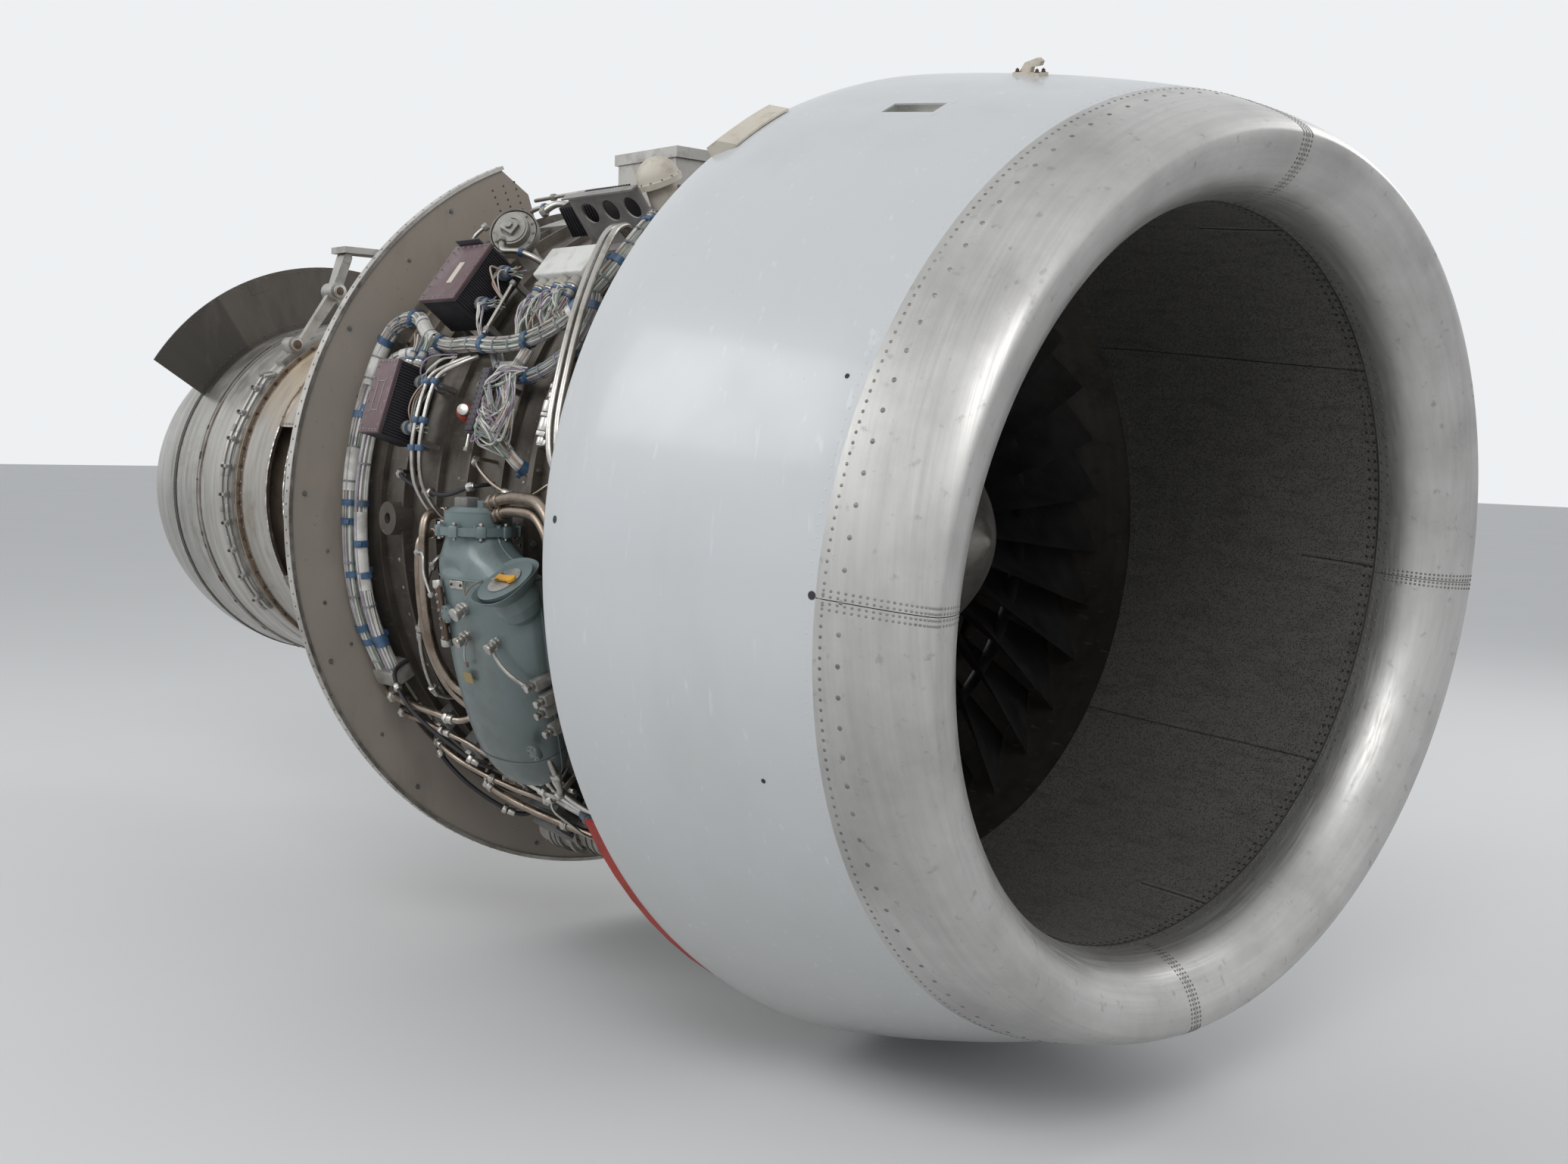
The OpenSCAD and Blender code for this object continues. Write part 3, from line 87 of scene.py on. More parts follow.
def area_light(name, place, aim, size, power):
    light = bpy.data.objects.new(name, bpy.data.lights.new(name, "AREA"))
    light.data.shape = "RECTANGLE"
    light.data.size, light.data.size_y = size
    light.data.energy = power
    light.location = place
    light.rotation_mode = "QUATERNION"
    light.rotation_quaternion = (Vector(aim) - Vector(place)).to_track_quat("-Z", "Y")
    bpy.context.scene.collection.objects.link(light)


def studio():
    """Plain bright room and three broad lamps."""
    bpy.context.scene.view_settings.view_transform = "Standard"
    world = bpy.data.worlds.new("studio")
    world.use_nodes = True
    bpy.context.scene.world = world
    tree = world.node_tree
    back = tree.nodes["Background"]
    path = tree.nodes.new("ShaderNodeLightPath")
    seen = path.outputs["Is Camera Ray"]
    for ray in ("Is Glossy Ray", "Is Transmission Ray"):
        most = tree.nodes.new("ShaderNodeMath")
        most.operation = "MAXIMUM"
        tree.links.new(seen, most.inputs[0])
        tree.links.new(path.outputs[ray], most.inputs[1])
        seen = most.outputs[0]
    level = tree.nodes.new("ShaderNodeMapRange")
    level.inputs["To Min"].default_value = LIGHT_LEVEL
    level.inputs["To Max"].default_value = SEEN_LEVEL
    tree.links.new(seen, level.inputs["Value"])
    tree.links.new(level.outputs[0], back.inputs["Strength"])
    back.inputs["Color"].default_value = (0.93, 0.95, 0.97, 1)
    for name, place, aim, size, power in (("key", (7.5, -7.0, 5.5), (1.0, 0, -1.2), (5.0, 4.0), 360),
                                          ("side", (-3.5, -7.5, 3.5), (-0.5, 0, -1.1), (5.0, 3.5), 210),
                                          ("left", (2.0, 8.0, 4.0), (0.0, 0, -1.1), (5.0, 4.0), 170)):
        area_light(name, place, aim, size, power)


# Places and shapes
def on_engine(x, angle, r):
    """Point from a station, an angle from the top towards the right side, and a radius."""
    a = math.radians(angle)
    return AXIS + Vector((x, -r * math.sin(a), r * math.cos(a)))


def at(x, angle, r=0.0):
    """Frame with Z outward from the engine axis, X forward and Y towards the top on the right side."""
    return (Matrix.Translation(AXIS + Vector((x, 0, 0))) @ Matrix.Rotation(math.radians(angle), 4, "X")
            @ Matrix.Translation((0, 0, r)))


def turn(axis, angle):
    return Matrix.Rotation(math.radians(angle), 4, axis)


def move(x, y, z):
    return Matrix.Translation((x, y, z))


DROOPED = Matrix.Translation(AXIS + Vector((LIP_X, 0, LIP_Z))) @ turn("Y", DROOP)
CENTRED = Matrix.Translation(AXIS)


def cowl_radius(x):
    if x > CROWN_X:
        part = min(1.0, (x - CROWN_X) / (LIP_X + LIP_DEPTH - CROWN_X))
        return HIGHLIGHT_R + (CROWN_R - HIGHLIGHT_R) * (1 - part ** 1.3) ** 0.625
    return CROWN_R - (CROWN_R - COWL_REAR_R) * ((CROWN_X - x) / (CROWN_X - COWL_REAR_X)) ** 2


def cowl_point(t, angle, inset=0.0):
    """Point of the cowl from its rear edge at t = 0 to the lip at t = 1."""
    a = math.radians(angle)
    x = COWL_REAR_X + (LIP_X - COWL_REAR_X) * t
    r = cowl_radius(x) - inset
    tilt = math.radians(DROOP * t)
    up = r * math.cos(a) - BELLY_DROP * (1 - t) * max(0.0, -math.cos(a))
    z = COWL_REAR_Z + (LIP_Z - COWL_REAR_Z) * t
    return AXIS + Vector((x + up * math.sin(tilt), -r * math.sin(a), z + up * math.cos(tilt)))


def cowl_frame(t, angle):
    """Frame on the cowl's skin: Z outward, X forward along the skin."""
    here = cowl_point(t, angle)
    ahead = (cowl_point(t + 0.01, angle) - here).normalized()
    round_it = (cowl_point(t, angle - 0.3) - here).normalized()
    out = ahead.cross(round_it).normalized()
    return Matrix.Translation(here) @ Matrix((ahead, out.cross(ahead), out)).transposed().to_4x4()


def catmull(points, steps):
    """Smooth line through points, with a number of steps from each to the next."""
    out = []
    last = len(points) - 1
    for i in range(last):
        a, b = points[max(i - 1, 0)], points[i]
        c, d = points[i + 1], points[min(i + 2, last)]
        for k in range(steps):
            u = k / steps
            out.append(0.5 * (2 * b + (c - a) * u + (2 * a - 5 * b + 4 * c - d) * u * u
                              + (3 * b - a - 3 * c + d) * u ** 3))
    out.append(points[last].copy())
    return out


def route(points, steps=4):
    """Smooth line through stations, angles and radii."""
    return catmull([on_engine(*p) for p in points], steps)


def side_vectors(line):
    """Sideways directions carried along a line without twisting."""
    sides = []
    side = Vector((0.3, 0.5, 0.8))
    for i in range(len(line)):
        ahead = (line[min(i + 1, len(line) - 1)] - line[max(i - 1, 0)]).normalized()
        side = (side - side.dot(ahead) * ahead).normalized()
        sides.append((ahead, side.copy(), ahead.cross(side)))
    return sides


def surface(bm, across, along, point, close=False, uv_size=(1.0, 1.0)):
    """Grid of faces laid over point(u, v), with its own map. close joins the two ends of v."""
    made = bmesh.ops.create_grid(bm, x_segments=across, y_segments=along, size=0.5)
    verts = made["verts"]
    layer = bm.loops.layers.uv.verify()
    faces = set()
    flat = {v: (v.co.x + 0.5, v.co.y + 0.5) for v in verts}
    for v in verts:
        faces.update(v.link_faces)
    for face in faces:
        face.smooth = True
        for loop in face.loops:
            u, w = flat[loop.vert]
            loop[layer].uv = (u * uv_size[0], w * uv_size[1])
    for v in verts:
        v.co = point(*flat[v])
    if close:
        bmesh.ops.remove_doubles(bm, verts=verts, dist=1e-5)
    return faces


def tube(bm, line, r, sides=8, slot=0):
    """Round tube along a line."""
    frames = side_vectors(line)
    length = sum((line[i + 1] - line[i]).length for i in range(len(line) - 1))
    last = len(line) - 1

    def point(u, v):
        i = min(last, int(round(u * last)))
        a = 2 * math.pi * v
        return line[i] + r * (math.cos(a) * frames[i][1] + math.sin(a) * frames[i][2])

    for face in surface(bm, last, sides, point, True, (length / (2 * math.pi * r), 1.0)):
        if face.is_valid:
            face.material_index = slot


def block(bm, size, place, soft=0.0, segments=2, slot=0):
    """Box of a size centred on a frame, its edges rounded by soft."""
    made = bmesh.ops.create_cube(bm, size=1.0, matrix=place @ Matrix.Diagonal((*size, 1.0)))
    finish_part(bm, made["verts"], soft, segments, slot)


def post(bm, r, h, place, sides=24, soft=0.0, slot=0, top=None, segments=2):
    """Round bar standing on a frame's origin along its Z."""
    made = bmesh.ops.create_cone(bm, cap_ends=True, segments=sides, radius1=r, depth=h,
                                 radius2=r if top is None else top, matrix=place @ move(0, 0, h / 2))
    finish_part(bm, made["verts"], soft, segments, slot, sides > 8)


def finish_part(bm, verts, soft, segments, slot, smooth=False):
    faces = {f for v in verts for f in v.link_faces}
    for face in faces:
        face.material_index = slot
        face.smooth = smooth and len(face.verts) == 4
    if soft > 0:
        edges = list({e for f in faces for e in f.edges if e.calc_face_angle(0) > 0.6})
        bmesh.ops.bevel(bm, geom=edges, offset=soft, offset_type="OFFSET", segments=segments, profile=0.5,
                        affect="EDGES", material=-1, clamp_overlap=True)


def turned(bm, profile, place=CENTRED, steps=96, start=0.0, end=360.0, slot=0, closed=True):
    """Profile of stations and radii spun about X. A closed profile makes a solid ring or sector."""
    whole = end - start > 359.9
    begin = turn("X", start).to_3x3()
    verts = [bm.verts.new(begin @ Vector((x, 0, r))) for x, r in profile]
    edges = [bm.edges.new((verts[i], verts[i + 1])) for i in range(len(verts) - 1)]
    if closed:
        edges.append(bm.edges.new((verts[-1], verts[0])))
    if closed and not whole:
        bm.faces.new(verts)
    made = bmesh.ops.spin(bm, geom=verts + edges, cent=(0, 0, 0), axis=(1, 0, 0), steps=steps,
                          angle=math.radians(end - start), use_merge=whole, use_duplicate=False)
    ends = [v for v in made["geom_last"] if isinstance(v, bmesh.types.BMVert)]
    faces = {f for v in ends for f in v.link_faces}
    grown = set(faces)
    while faces:
        faces = {f for face in faces for e in face.edges for f in e.link_faces} - grown
        grown |= faces
    if closed and not whole:
        grown.add(bm.faces.new(ends))
    for face in grown:
        face.smooth = len(face.verts) == 4
        face.material_index = slot
    bmesh.ops.transform(bm, matrix=place, verts=list({v for f in grown for v in f.verts}))


def band(x0, x1, r0, r1):
    """Profile of a plain ring between two stations and two radii."""
    return [(x0, r0), (x0, r1), (x1, r1), (x1, r0)]


STAMPS = {}


def stamp(bm, shape, place, slot=0):
    """Copies a small finished shape into a mesh; building one shape many times over would be slow."""
    key = (shape, slot)
    if key not in STAMPS:
        made = bmesh.new()
        for r, low, high, sides in shape:
            bmesh.ops.create_cone(made, cap_ends=True, segments=sides, radius1=r[0], radius2=r[1],
                                  depth=high - low, matrix=move(0, 0, (low + high) / 2))
        for face in made.faces:
            face.material_index = slot
            face.smooth = True
        STAMPS[key] = bpy.data.meshes.new("stamp")
        made.to_mesh(STAMPS[key])
        made.free()
    copy = STAMPS[key].copy()
    copy.transform(place)
    bm.from_mesh(copy)
    bpy.data.meshes.remove(copy)


def bolt(bm, place, r=0.008, h=0.008, slot=0):
    """Six-sided bolt head on its washer."""
    stamp(bm, (((r * 1.45, r * 1.45), 0.0, h * 0.22, 10), ((r, r), h * 0.2, h * 1.2, 6),
               ((r * 0.45, r * 0.45), h * 1.1, h * 1.6, 6)), place, slot)


def rivet(bm, place, r=0.004, h=0.0015, slot=0):
    """Low round rivet head."""
    stamp(bm, (((r, r * 0.55), 0.0, h, 8),), place, slot)


def piece(name, bm, finishes, body="engine", stands_for=(), sharp=40.0, outward=True):
    """Turns a bmesh into a piece that rides a body and stands for CAD nodes."""
    if outward:
        bmesh.ops.recalc_face_normals(bm, faces=bm.faces)
    mesh = bpy.data.meshes.new(name)
    bm.to_mesh(mesh)
    bm.free()
    for finish in finishes:
        mesh.materials.append(finish)
    mesh.polygons.foreach_set("use_smooth", [True] * len(mesh.polygons))
    mesh.set_sharp_from_angle(angle=math.radians(sharp))
    made = bpy.data.objects.new(name, mesh)
    bpy.context.scene.collection.objects.link(made)
    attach(made, body)
    if stands_for:
        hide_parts(*stands_for)
    return made


# Finishes
def srgb(r, g, b):
    """Colour as it is seen, 0 to 255, as a shader reads it."""
    def linear(c):
        c /= 255
        return c / 12.92 if c <= 0.04045 else ((c + 0.055) / 1.055) ** 2.4
    return (linear(r), linear(g), linear(b), 1.0)


class Finish:
    """Layers of colour, roughness and relief, read from the piece's own coordinates."""

    def __init__(self, name, colour, rough, metal=0.0, coat=0.0, uv=False):
        self.mat = bpy.data.materials.new(name)
        self.mat.use_nodes = True
        self.tree = self.mat.node_tree
        self.shader = self.tree.nodes["Principled BSDF"]
        self.shader.inputs["Metallic"].default_value = metal
        self.shader.inputs["Coat Weight"].default_value = coat
        self.shader.inputs["Coat Roughness"].default_value = 0.12
        self.colour, self.rough, self.bumps = srgb(*colour), rough, None
        self.where = self.node("ShaderNodeTexCoord").outputs["UV" if uv else "Object"]

    def node(self, kind, **settings):
        made = self.tree.nodes.new(kind)
        for key, value in settings.items():
            setattr(made, key, value)
        return made

    def feed(self, socket, value):
        if isinstance(value, bpy.types.NodeSocket):
            self.tree.links.new(value, socket)
        else:
            socket.default_value = value

    def mapped(self, stretch=(1, 1, 1), shift=(0, 0, 0), source=None):
        mapping = self.node("ShaderNodeMapping")
        self.feed(mapping.inputs["Vector"], source or self.where)
        mapping.inputs["Scale"].default_value = stretch
        mapping.inputs["Location"].default_value = shift
        return mapping.outputs["Vector"]

    def cloud(self, scale, stretch=(1, 1, 1), detail=4.0, rough=0.55, source=None, shift=(0, 0, 0)):
        made = self.node("ShaderNodeTexNoise")
        self.feed(made.inputs["Vector"], self.mapped(stretch, shift, source=source))
        made.inputs["Scale"].default_value = scale
        made.inputs["Detail"].default_value = detail
        made.inputs["Roughness"].default_value = rough
        return made.outputs["Fac"]

    def cells(self, scale, stretch=(1, 1, 1), source=None):
        made = self.node("ShaderNodeTexVoronoi", feature="F1")
        self.feed(made.inputs["Vector"], self.mapped(stretch, source=source))
        made.inputs["Scale"].default_value = scale
        return made.outputs["Distance"]

    def between(self, value, low, high, to_low=0.0, to_high=1.0):
        made = self.node("ShaderNodeMapRange")
        self.feed(made.inputs["Value"], value)
        for key, number in (("From Min", low), ("From Max", high), ("To Min", to_low), ("To Max", to_high)):
            made.inputs[key].default_value = number
        return made.outputs["Result"]

    def sums(self, operation, a, b=0.0):
        made = self.node("ShaderNodeMath", operation=operation)
        self.feed(made.inputs[0], a)
        self.feed(made.inputs[1], b)
        return made.outputs[0]

    def split(self, source=None):
        made = self.node("ShaderNodeSeparateXYZ")
        self.feed(made.inputs[0], source or self.where)
        return made.outputs

    def round_axis(self):
        """Stations, angle and radius about the engine axis, as a vector."""
        x, y, z = self.split(self.mapped(shift=(-AXIS.x, 0, -AXIS.z)))
        angle = self.sums("ARCTAN2", y, z)
        r = self.sums("SQRT", self.sums("ADD", self.sums("MULTIPLY", y, y), self.sums("MULTIPLY", z, z)))
        made = self.node("ShaderNodeCombineXYZ")
        for socket, value in zip(made.inputs, (x, angle, r)):
            self.feed(socket, value)
        return made.outputs[0]

    def tint(self, mask, colour):
        made = self.node("ShaderNodeMix", data_type="RGBA")
        self.feed(made.inputs["Factor"], mask)
        self.feed(made.inputs[6], self.colour)
        self.feed(made.inputs[7], srgb(*colour))
        self.colour = made.outputs[2]
        return self

    def dull(self, mask, rough):
        made = self.node("ShaderNodeMix", data_type="FLOAT")
        self.feed(made.inputs[0], mask)
        self.feed(made.inputs[2], self.rough)
        self.feed(made.inputs[3], rough)
        self.rough = made.outputs[0]
        return self

    def relief(self, height, distance, strength=1.0):
        made = self.node("ShaderNodeBump")
        made.inputs["Distance"].default_value = distance
        made.inputs["Strength"].default_value = strength
        self.feed(made.inputs["Height"], height)
        if self.bumps:
            self.feed(made.inputs["Normal"], self.bumps)
        self.bumps = made.outputs["Normal"]
        return self

    def patches(self, colour, scale, low, high, most=1.0, **how):
        """Colour laid on where a cloud rises from low to high."""
        return self.tint(self.between(self.cloud(scale, **how), low, high, 0, most), colour)

    def matt(self, rough, scale, low, high, **how):
        """Rougher where a cloud rises from low to high."""
        return self.dull(self.between(self.cloud(scale, **how), low, high), rough)

    def uneven(self, scale, distance, strength, **how):
        """Relief from a cloud."""
        return self.relief(self.cloud(scale, **how), distance, strength)

    def ragged_height(self, scale, amount, **how):
        """Height in the part's frame, moved up and down by a cloud."""
        return self.sums("ADD", self.split()[2], self.sums("MULTIPLY", self.cloud(scale, **how), amount))

    def done(self):
        self.feed(self.shader.inputs["Base Color"], self.colour)
        self.feed(self.shader.inputs["Roughness"], self.rough)
        if self.bumps:
            self.feed(self.shader.inputs["Normal"], self.bumps)
        return self.mat


def grimy(name, colour, pale, dirt, rough, metal, coat=0.0, fine=60.0, broad=3.0):
    """Used metal or paint: broad and fine changes of tone, grime in patches, scuffs and a fine grain."""
    f = Finish(name, colour, rough, metal, coat)
    f.patches(pale, broad, 0.38, 0.66, detail=6)
    f.patches(dirt, broad * 3.1, 0.5, 0.72, 0.75, detail=8, rough=0.7, shift=(4, 1, 7))
    f.patches(dirt, fine * 2.2, 0.62, 0.8, 0.4, detail=3)
    f.patches(pale, 16, 0.63, 0.7, 0.35, stretch=(1, 1, 7), detail=3, shift=(2, 5, 1))
    f.matt(min(1.0, rough + 0.22), fine * 0.4, 0.35, 0.7, detail=4)
    f.uneven(fine * 6, 0.0006, 0.35, detail=2)
    f.uneven(fine * 0.5, 0.002, 0.12, detail=3)
    return f.done()


def cowl_paint():
    """Pale enamel with faint runs, flecks and pits, and painted shade that greys it towards the belly."""
    f = Finish("cowl_paint", (199, 202, 204), 0.32, 0.0, 0.25)
    f.patches((191, 195, 198), 1.3, 0.35, 0.7, 0.6, detail=5)
    # Painted shade: grey laid on lower down, where the belly turns away from the light
    height = f.ragged_height(1.6, 0.7, detail=6, shift=(5, 2, 2))
    f.tint(f.between(height, -0.9, -2.0, 0, 0.55), (160, 159, 154))
    f.patches((176, 180, 178), 2.4, 0.52, 0.74, 0.35, stretch=(1, 1, 0.35), detail=7, rough=0.6,
              shift=(3, 2, 0))
    f.patches((226, 230, 233), 42, 0.66, 0.74, 0.25, stretch=(1, 1, 0.12), detail=2, shift=(1, 8, 3))
    f.tint(f.between(f.cells(14), 0.035, 0.02, 0, 0.5), (222, 226, 228))
    f.tint(f.between(f.cells(9, (1, 1, 0.8)), 0.012, 0.006, 0, 0.8), (120, 120, 116))
    f.matt(0.42, 5, 0.4, 0.65, detail=6)
    f.uneven(3.2, 0.01, 0.12, detail=2)
    f.uneven(380, 0.0002, 0.15, detail=1)
    return f.done()


def lip_metal():
    """Bare polished sheet, dulled by weather and streaked round the intake."""
    f = Finish("lip_metal", (196, 195, 192), 0.36, 0.82)
    polar = f.round_axis()
    f.patches((166, 165, 163), 1, 0.35, 0.7, 0.35, stretch=(60, 1.6, 60), detail=4, source=polar)
    f.patches((146, 144, 142), 2.2, 0.45, 0.7, 0.6, detail=7, rough=0.62)
    f.patches((120, 118, 115), 34, 0.62, 0.75, 0.5, detail=5, shift=(7, 3, 2))
    f.matt(0.5, 1, 0.35, 0.7, stretch=(150, 3.0, 150), detail=3, source=polar)
    f.uneven(1, 0.0004, 0.22, stretch=(420, 5, 420), detail=2, source=polar)
    f.uneven(4, 0.006, 0.1, detail=2)
    return f.done()


def liner_metal():
    """Sheet with rows of fine dark holes."""
    f = Finish("liner_metal", (106, 104, 101), 0.62, 0.3)
    polar = f.round_axis()
    f.patches((116, 114, 110), 2.0, 0.4, 0.68, 0.6, detail=6)
    f.patches((76, 74, 72), 1, 0.5, 0.75, 0.6, stretch=(9, 30, 9), detail=5, source=polar)
    holes = f.cells(1, (210, 190, 0.0), source=polar)
    f.tint(f.between(holes, 0.42, 0.30), (54, 53, 52))
    f.relief(f.between(holes, 0.30, 0.45), 0.0008, 0.6)
    return f.done()


def blade_metal():
    """Dark worn metal with marks across the blades."""
    f = Finish("blade_metal", (112, 111, 112), 0.36, 0.9)
    f.patches((88, 87, 89), 7, 0.4, 0.66, 0.7, detail=6)
    f.patches((138, 136, 134), 40, 0.58, 0.75, 0.5, stretch=(1, 3, 3), detail=4)
    f.matt(0.52, 18, 0.4, 0.7, detail=5)
    f.uneven(240, 0.0003, 0.3, stretch=(0.3, 1, 1), detail=2)
    return f.done()


def braid(name, colour, other):
    """Woven metal or cloth sleeve, from the piece's own map."""
    f = Finish(name, colour, 0.5, 0.35, uv=True)
    strands = 75.4
    u, v = f.split()[:2]
    across = f.sums("SINE", f.sums("MULTIPLY", f.sums("ADD", u, v), strands))
    along = f.sums("SINE", f.sums("MULTIPLY", f.sums("SUBTRACT", u, v), strands))
    weave = f.sums("MULTIPLY", across, along)
    f.tint(f.between(weave, -0.6, 0.7), other)
    f.patches((92, 86, 76), 3, 0.5, 0.75, 0.6, detail=5)
    f.relief(weave, 0.0008, 0.5)
    return f.done()


def sleeve(name, colour, pale):
    """Plain wire covering with slight changes of tone."""
    f = Finish(name, colour, 0.42)
    f.patches(pale, 30, 0.4, 0.7, detail=4)
    f.patches((84, 78, 70), 12, 0.55, 0.75, 0.6, detail=6, shift=(5, 5, 2))
    f.uneven(420, 0.0004, 0.25, detail=2)
    return f.done()


def spun_metal(name, colour, pale, stain, rough, metal, joints, cream=None):
    """Sheet turned about the engine: streaks round it, heat tint high up, brown stains at its joints."""
    f = Finish(name, colour, rough, metal)
    polar = f.round_axis()
    f.patches(pale, 1, 0.36, 0.66, 0.85, stretch=(26, 1.2, 8), detail=5, source=polar)
    if cream:
        f.tint(f.between(f.ragged_height(3.5, 0.35, detail=6), -0.72, -0.52, 0, 0.9), cream)
    f.patches(stain, 1, 0.54, 0.74, 0.5, stretch=(60, 2.4, 20), detail=6, source=polar, shift=(3, 1, 0))
    f.patches(stain, 3.2, 0.55, 0.74, 0.6, detail=8, rough=0.7, shift=(1, 4, 2))
    station = f.sums("ADD", f.split(polar)[0], f.sums("MULTIPLY", f.cloud(14, detail=6), 0.03))
    for x, wide in joints:
        off = f.sums("ABSOLUTE", f.sums("SUBTRACT", station, x + 0.015))
        f.tint(f.between(off, wide, wide * 0.35, 0, 0.85), (92, 72, 56))
    f.matt(rough + 0.2, 9, 0.4, 0.68, detail=6)
    f.uneven(1, 0.0004, 0.25, stretch=(300, 4, 60), detail=2, source=polar)
    f.uneven(5, 0.006, 0.12, detail=3)
    return f.done()


def case_metal():
    """Machined casing, pale near the crown, with painted shade that darkens it towards the belly and patches of
    oily grime.
    """
    f = Finish("case_metal", (116, 109, 101), 0.46, 0.6)
    polar = f.round_axis()
    f.patches((136, 129, 120), 1, 0.38, 0.68, 0.7, stretch=(22, 1.6, 8), detail=5, source=polar)
    # Painted shade: dark laid on lower down, towards the belly
    f.tint(f.between(f.ragged_height(2.6, 0.5, detail=6), -0.55, -1.05, 0, 0.85), (62, 57, 52))
    f.patches((60, 52, 44), 7, 0.5, 0.7, 0.7, detail=8, rough=0.7, shift=(4, 1, 7))
    f.patches((48, 42, 36), 90, 0.64, 0.78, 0.5, detail=3)
    f.patches((158, 151, 142), 16, 0.64, 0.72, 0.35, stretch=(1, 1, 7), detail=3, shift=(2, 5, 1))
    f.matt(0.68, 22, 0.35, 0.7, detail=4)
    f.uneven(320, 0.0005, 0.3, detail=2)
    f.uneven(24, 0.002, 0.12, detail=3)
    return f.done()


def tank_paint():
    """Grey-green enamel with brown oil stains in patches, and painted shade that darkens it low down."""
    f = Finish("tank_paint", (112, 127, 128), 0.34, 0.1, 0.2)
    f.patches((98, 113, 115), 3, 0.38, 0.66, 0.8, detail=6)
    # Painted shade: darker grey-green laid on low down
    height = f.ragged_height(3.4, 0.5, detail=6, shift=(2, 2, 5))
    f.tint(f.between(height, -0.98, -1.45, 0, 0.75), (74, 82, 80))
    f.patches((88, 84, 70), 7, 0.54, 0.72, 0.6, stretch=(1, 1, 0.35), detail=8, rough=0.68, shift=(4, 1, 7))
    f.patches((70, 66, 56), 130, 0.66, 0.8, 0.4, detail=3)
    f.matt(0.5, 18, 0.4, 0.7, detail=5)
    f.uneven(9, 0.003, 0.1, detail=2)
    return f.done()


def web_metal():
    """Dark sheet with streaks across it and a lighter upper half."""
    f = Finish("dark_web", (92, 86, 79), 0.52, 0.25)
    polar = f.round_axis()
    f.patches((74, 70, 66), 1, 0.4, 0.68, 0.7, stretch=(4, 14, 5), detail=6, source=polar)
    f.tint(f.between(f.split(polar)[1], -0.585, -0.60, 0, 0.75), (62, 59, 56))
    f.patches((112, 104, 94), 6, 0.56, 0.76, 0.55, stretch=(1, 1, 0.4), detail=7, rough=0.65)
    f.matt(0.68, 12, 0.4, 0.7, detail=5)
    f.uneven(3, 0.008, 0.2, detail=3)
    return f.done()


def bulkhead_paint():
    """Painted sheet, nearly even, with soft stains that run down."""
    f = Finish("bulkhead_paint", (158, 149, 139), 0.5, 0.12)
    f.patches((146, 138, 129), 2.2, 0.36, 0.68, 0.8, detail=5)
    f.patches((120, 110, 100), 5, 0.56, 0.76, 0.5, stretch=(1, 1, 0.3), detail=7, rough=0.62, shift=(2, 6, 1))
    f.patches((96, 84, 72), 60, 0.66, 0.76, 0.45, detail=4, shift=(8, 1, 3))
    f.matt(0.62, 7, 0.4, 0.66, detail=6)
    f.uneven(4, 0.006, 0.15, detail=3)
    return f.done()


COWL = cowl_paint()
LIP = lip_metal()
LINER = liner_metal()
BLADE = blade_metal()
RIVET = grimy("rivet_metal", (122, 119, 114), (150, 148, 143), (70, 66, 60), 0.42, 0.9)
SPINNER = grimy("spinner_coat", (122, 117, 111), (146, 141, 135), (84, 78, 71), 0.38, 0.6, broad=5)
CASE = case_metal()
RING = bulkhead_paint()
CORE = grimy("core_metal", (140, 128, 114), (166, 152, 134), (86, 70, 56), 0.42, 0.75)
PANEL = spun_metal("rear_panel", (160, 156, 149), (184, 181, 175), (122, 100, 78), 0.4, 0.65,
                   ((-2.882, 0.026), (-2.668, 0.012), (-2.500, 0.014)), (192, 174, 148))
SILVER = spun_metal("rear_case", (166, 164, 159), (196, 194, 189), (126, 106, 86), 0.36, 0.75,
                    ((-3.190, 0.016), (-2.900, 0.014)))
PIPE = grimy("pipe_steel", (142, 128, 115), (170, 158, 146), (92, 74, 58), 0.24, 0.95, fine=80)
BRIGHT = grimy("bright_steel", (176, 172, 166), (206, 203, 198), (116, 106, 94), 0.26, 0.95, fine=90)
NOZZLE = spun_metal("nozzle_steel", (158, 156, 151), (182, 181, 177), (112, 100, 86), 0.36, 0.8,
                    ((-3.200, 0.014), (-3.415, 0.014)))
WEB = web_metal()
MOUNT = grimy("mount_metal", (160, 157, 152), (186, 184, 180), (104, 94, 82), 0.38, 0.85)
RUST = grimy("browned_bolts", (86, 70, 58), (114, 99, 86), (54, 42, 34), 0.6, 0.6)
TANK = tank_paint()
MAROON = grimy("box_maroon", (90, 66, 70), (108, 84, 88), (60, 44, 44), 0.4, 0.1, 0.15)
FIN = grimy("box_fins", (40, 38, 42), (60, 57, 61), (26, 24, 26), 0.5, 0.3)
PALE = grimy("pale_box", (208, 208, 204), (224, 224, 221), (150, 144, 132), 0.42, 0.05)
DARK = grimy("dark_plate", (66, 62, 68), (86, 82, 88), (42, 40, 43), 0.48, 0.35)
BRACKET = grimy("bracket_metal", (142, 140, 138), (168, 166, 163), (92, 84, 74), 0.44, 0.6)
CAST = grimy("cast_metal", (150, 147, 141), (178, 175, 168), (98, 88, 76), 0.5, 0.6)
CREAM = grimy("cream_paint", (198, 190, 176), (216, 209, 196), (150, 134, 112), 0.45, 0.0)
GEARBOX = grimy("gearbox_cast", (106, 106, 104), (130, 130, 127), (66, 60, 54), 0.52, 0.5)
YELLOW = grimy("lever_yellow", (222, 162, 32), (238, 182, 52), (120, 82, 30), 0.35, 0.0, 0.2)
RED = grimy("seal_red", (150, 42, 32), (170, 58, 44), (90, 32, 27), 0.55, 0.0)
YELLOW_TAG = grimy("oil_stained_tag", (140, 122, 78), (158, 140, 96), (92, 74, 44), 0.6, 0.0)
HOSE = grimy("hose_cover", (84, 98, 112), (112, 124, 136), (58, 62, 66), 0.55, 0.1)
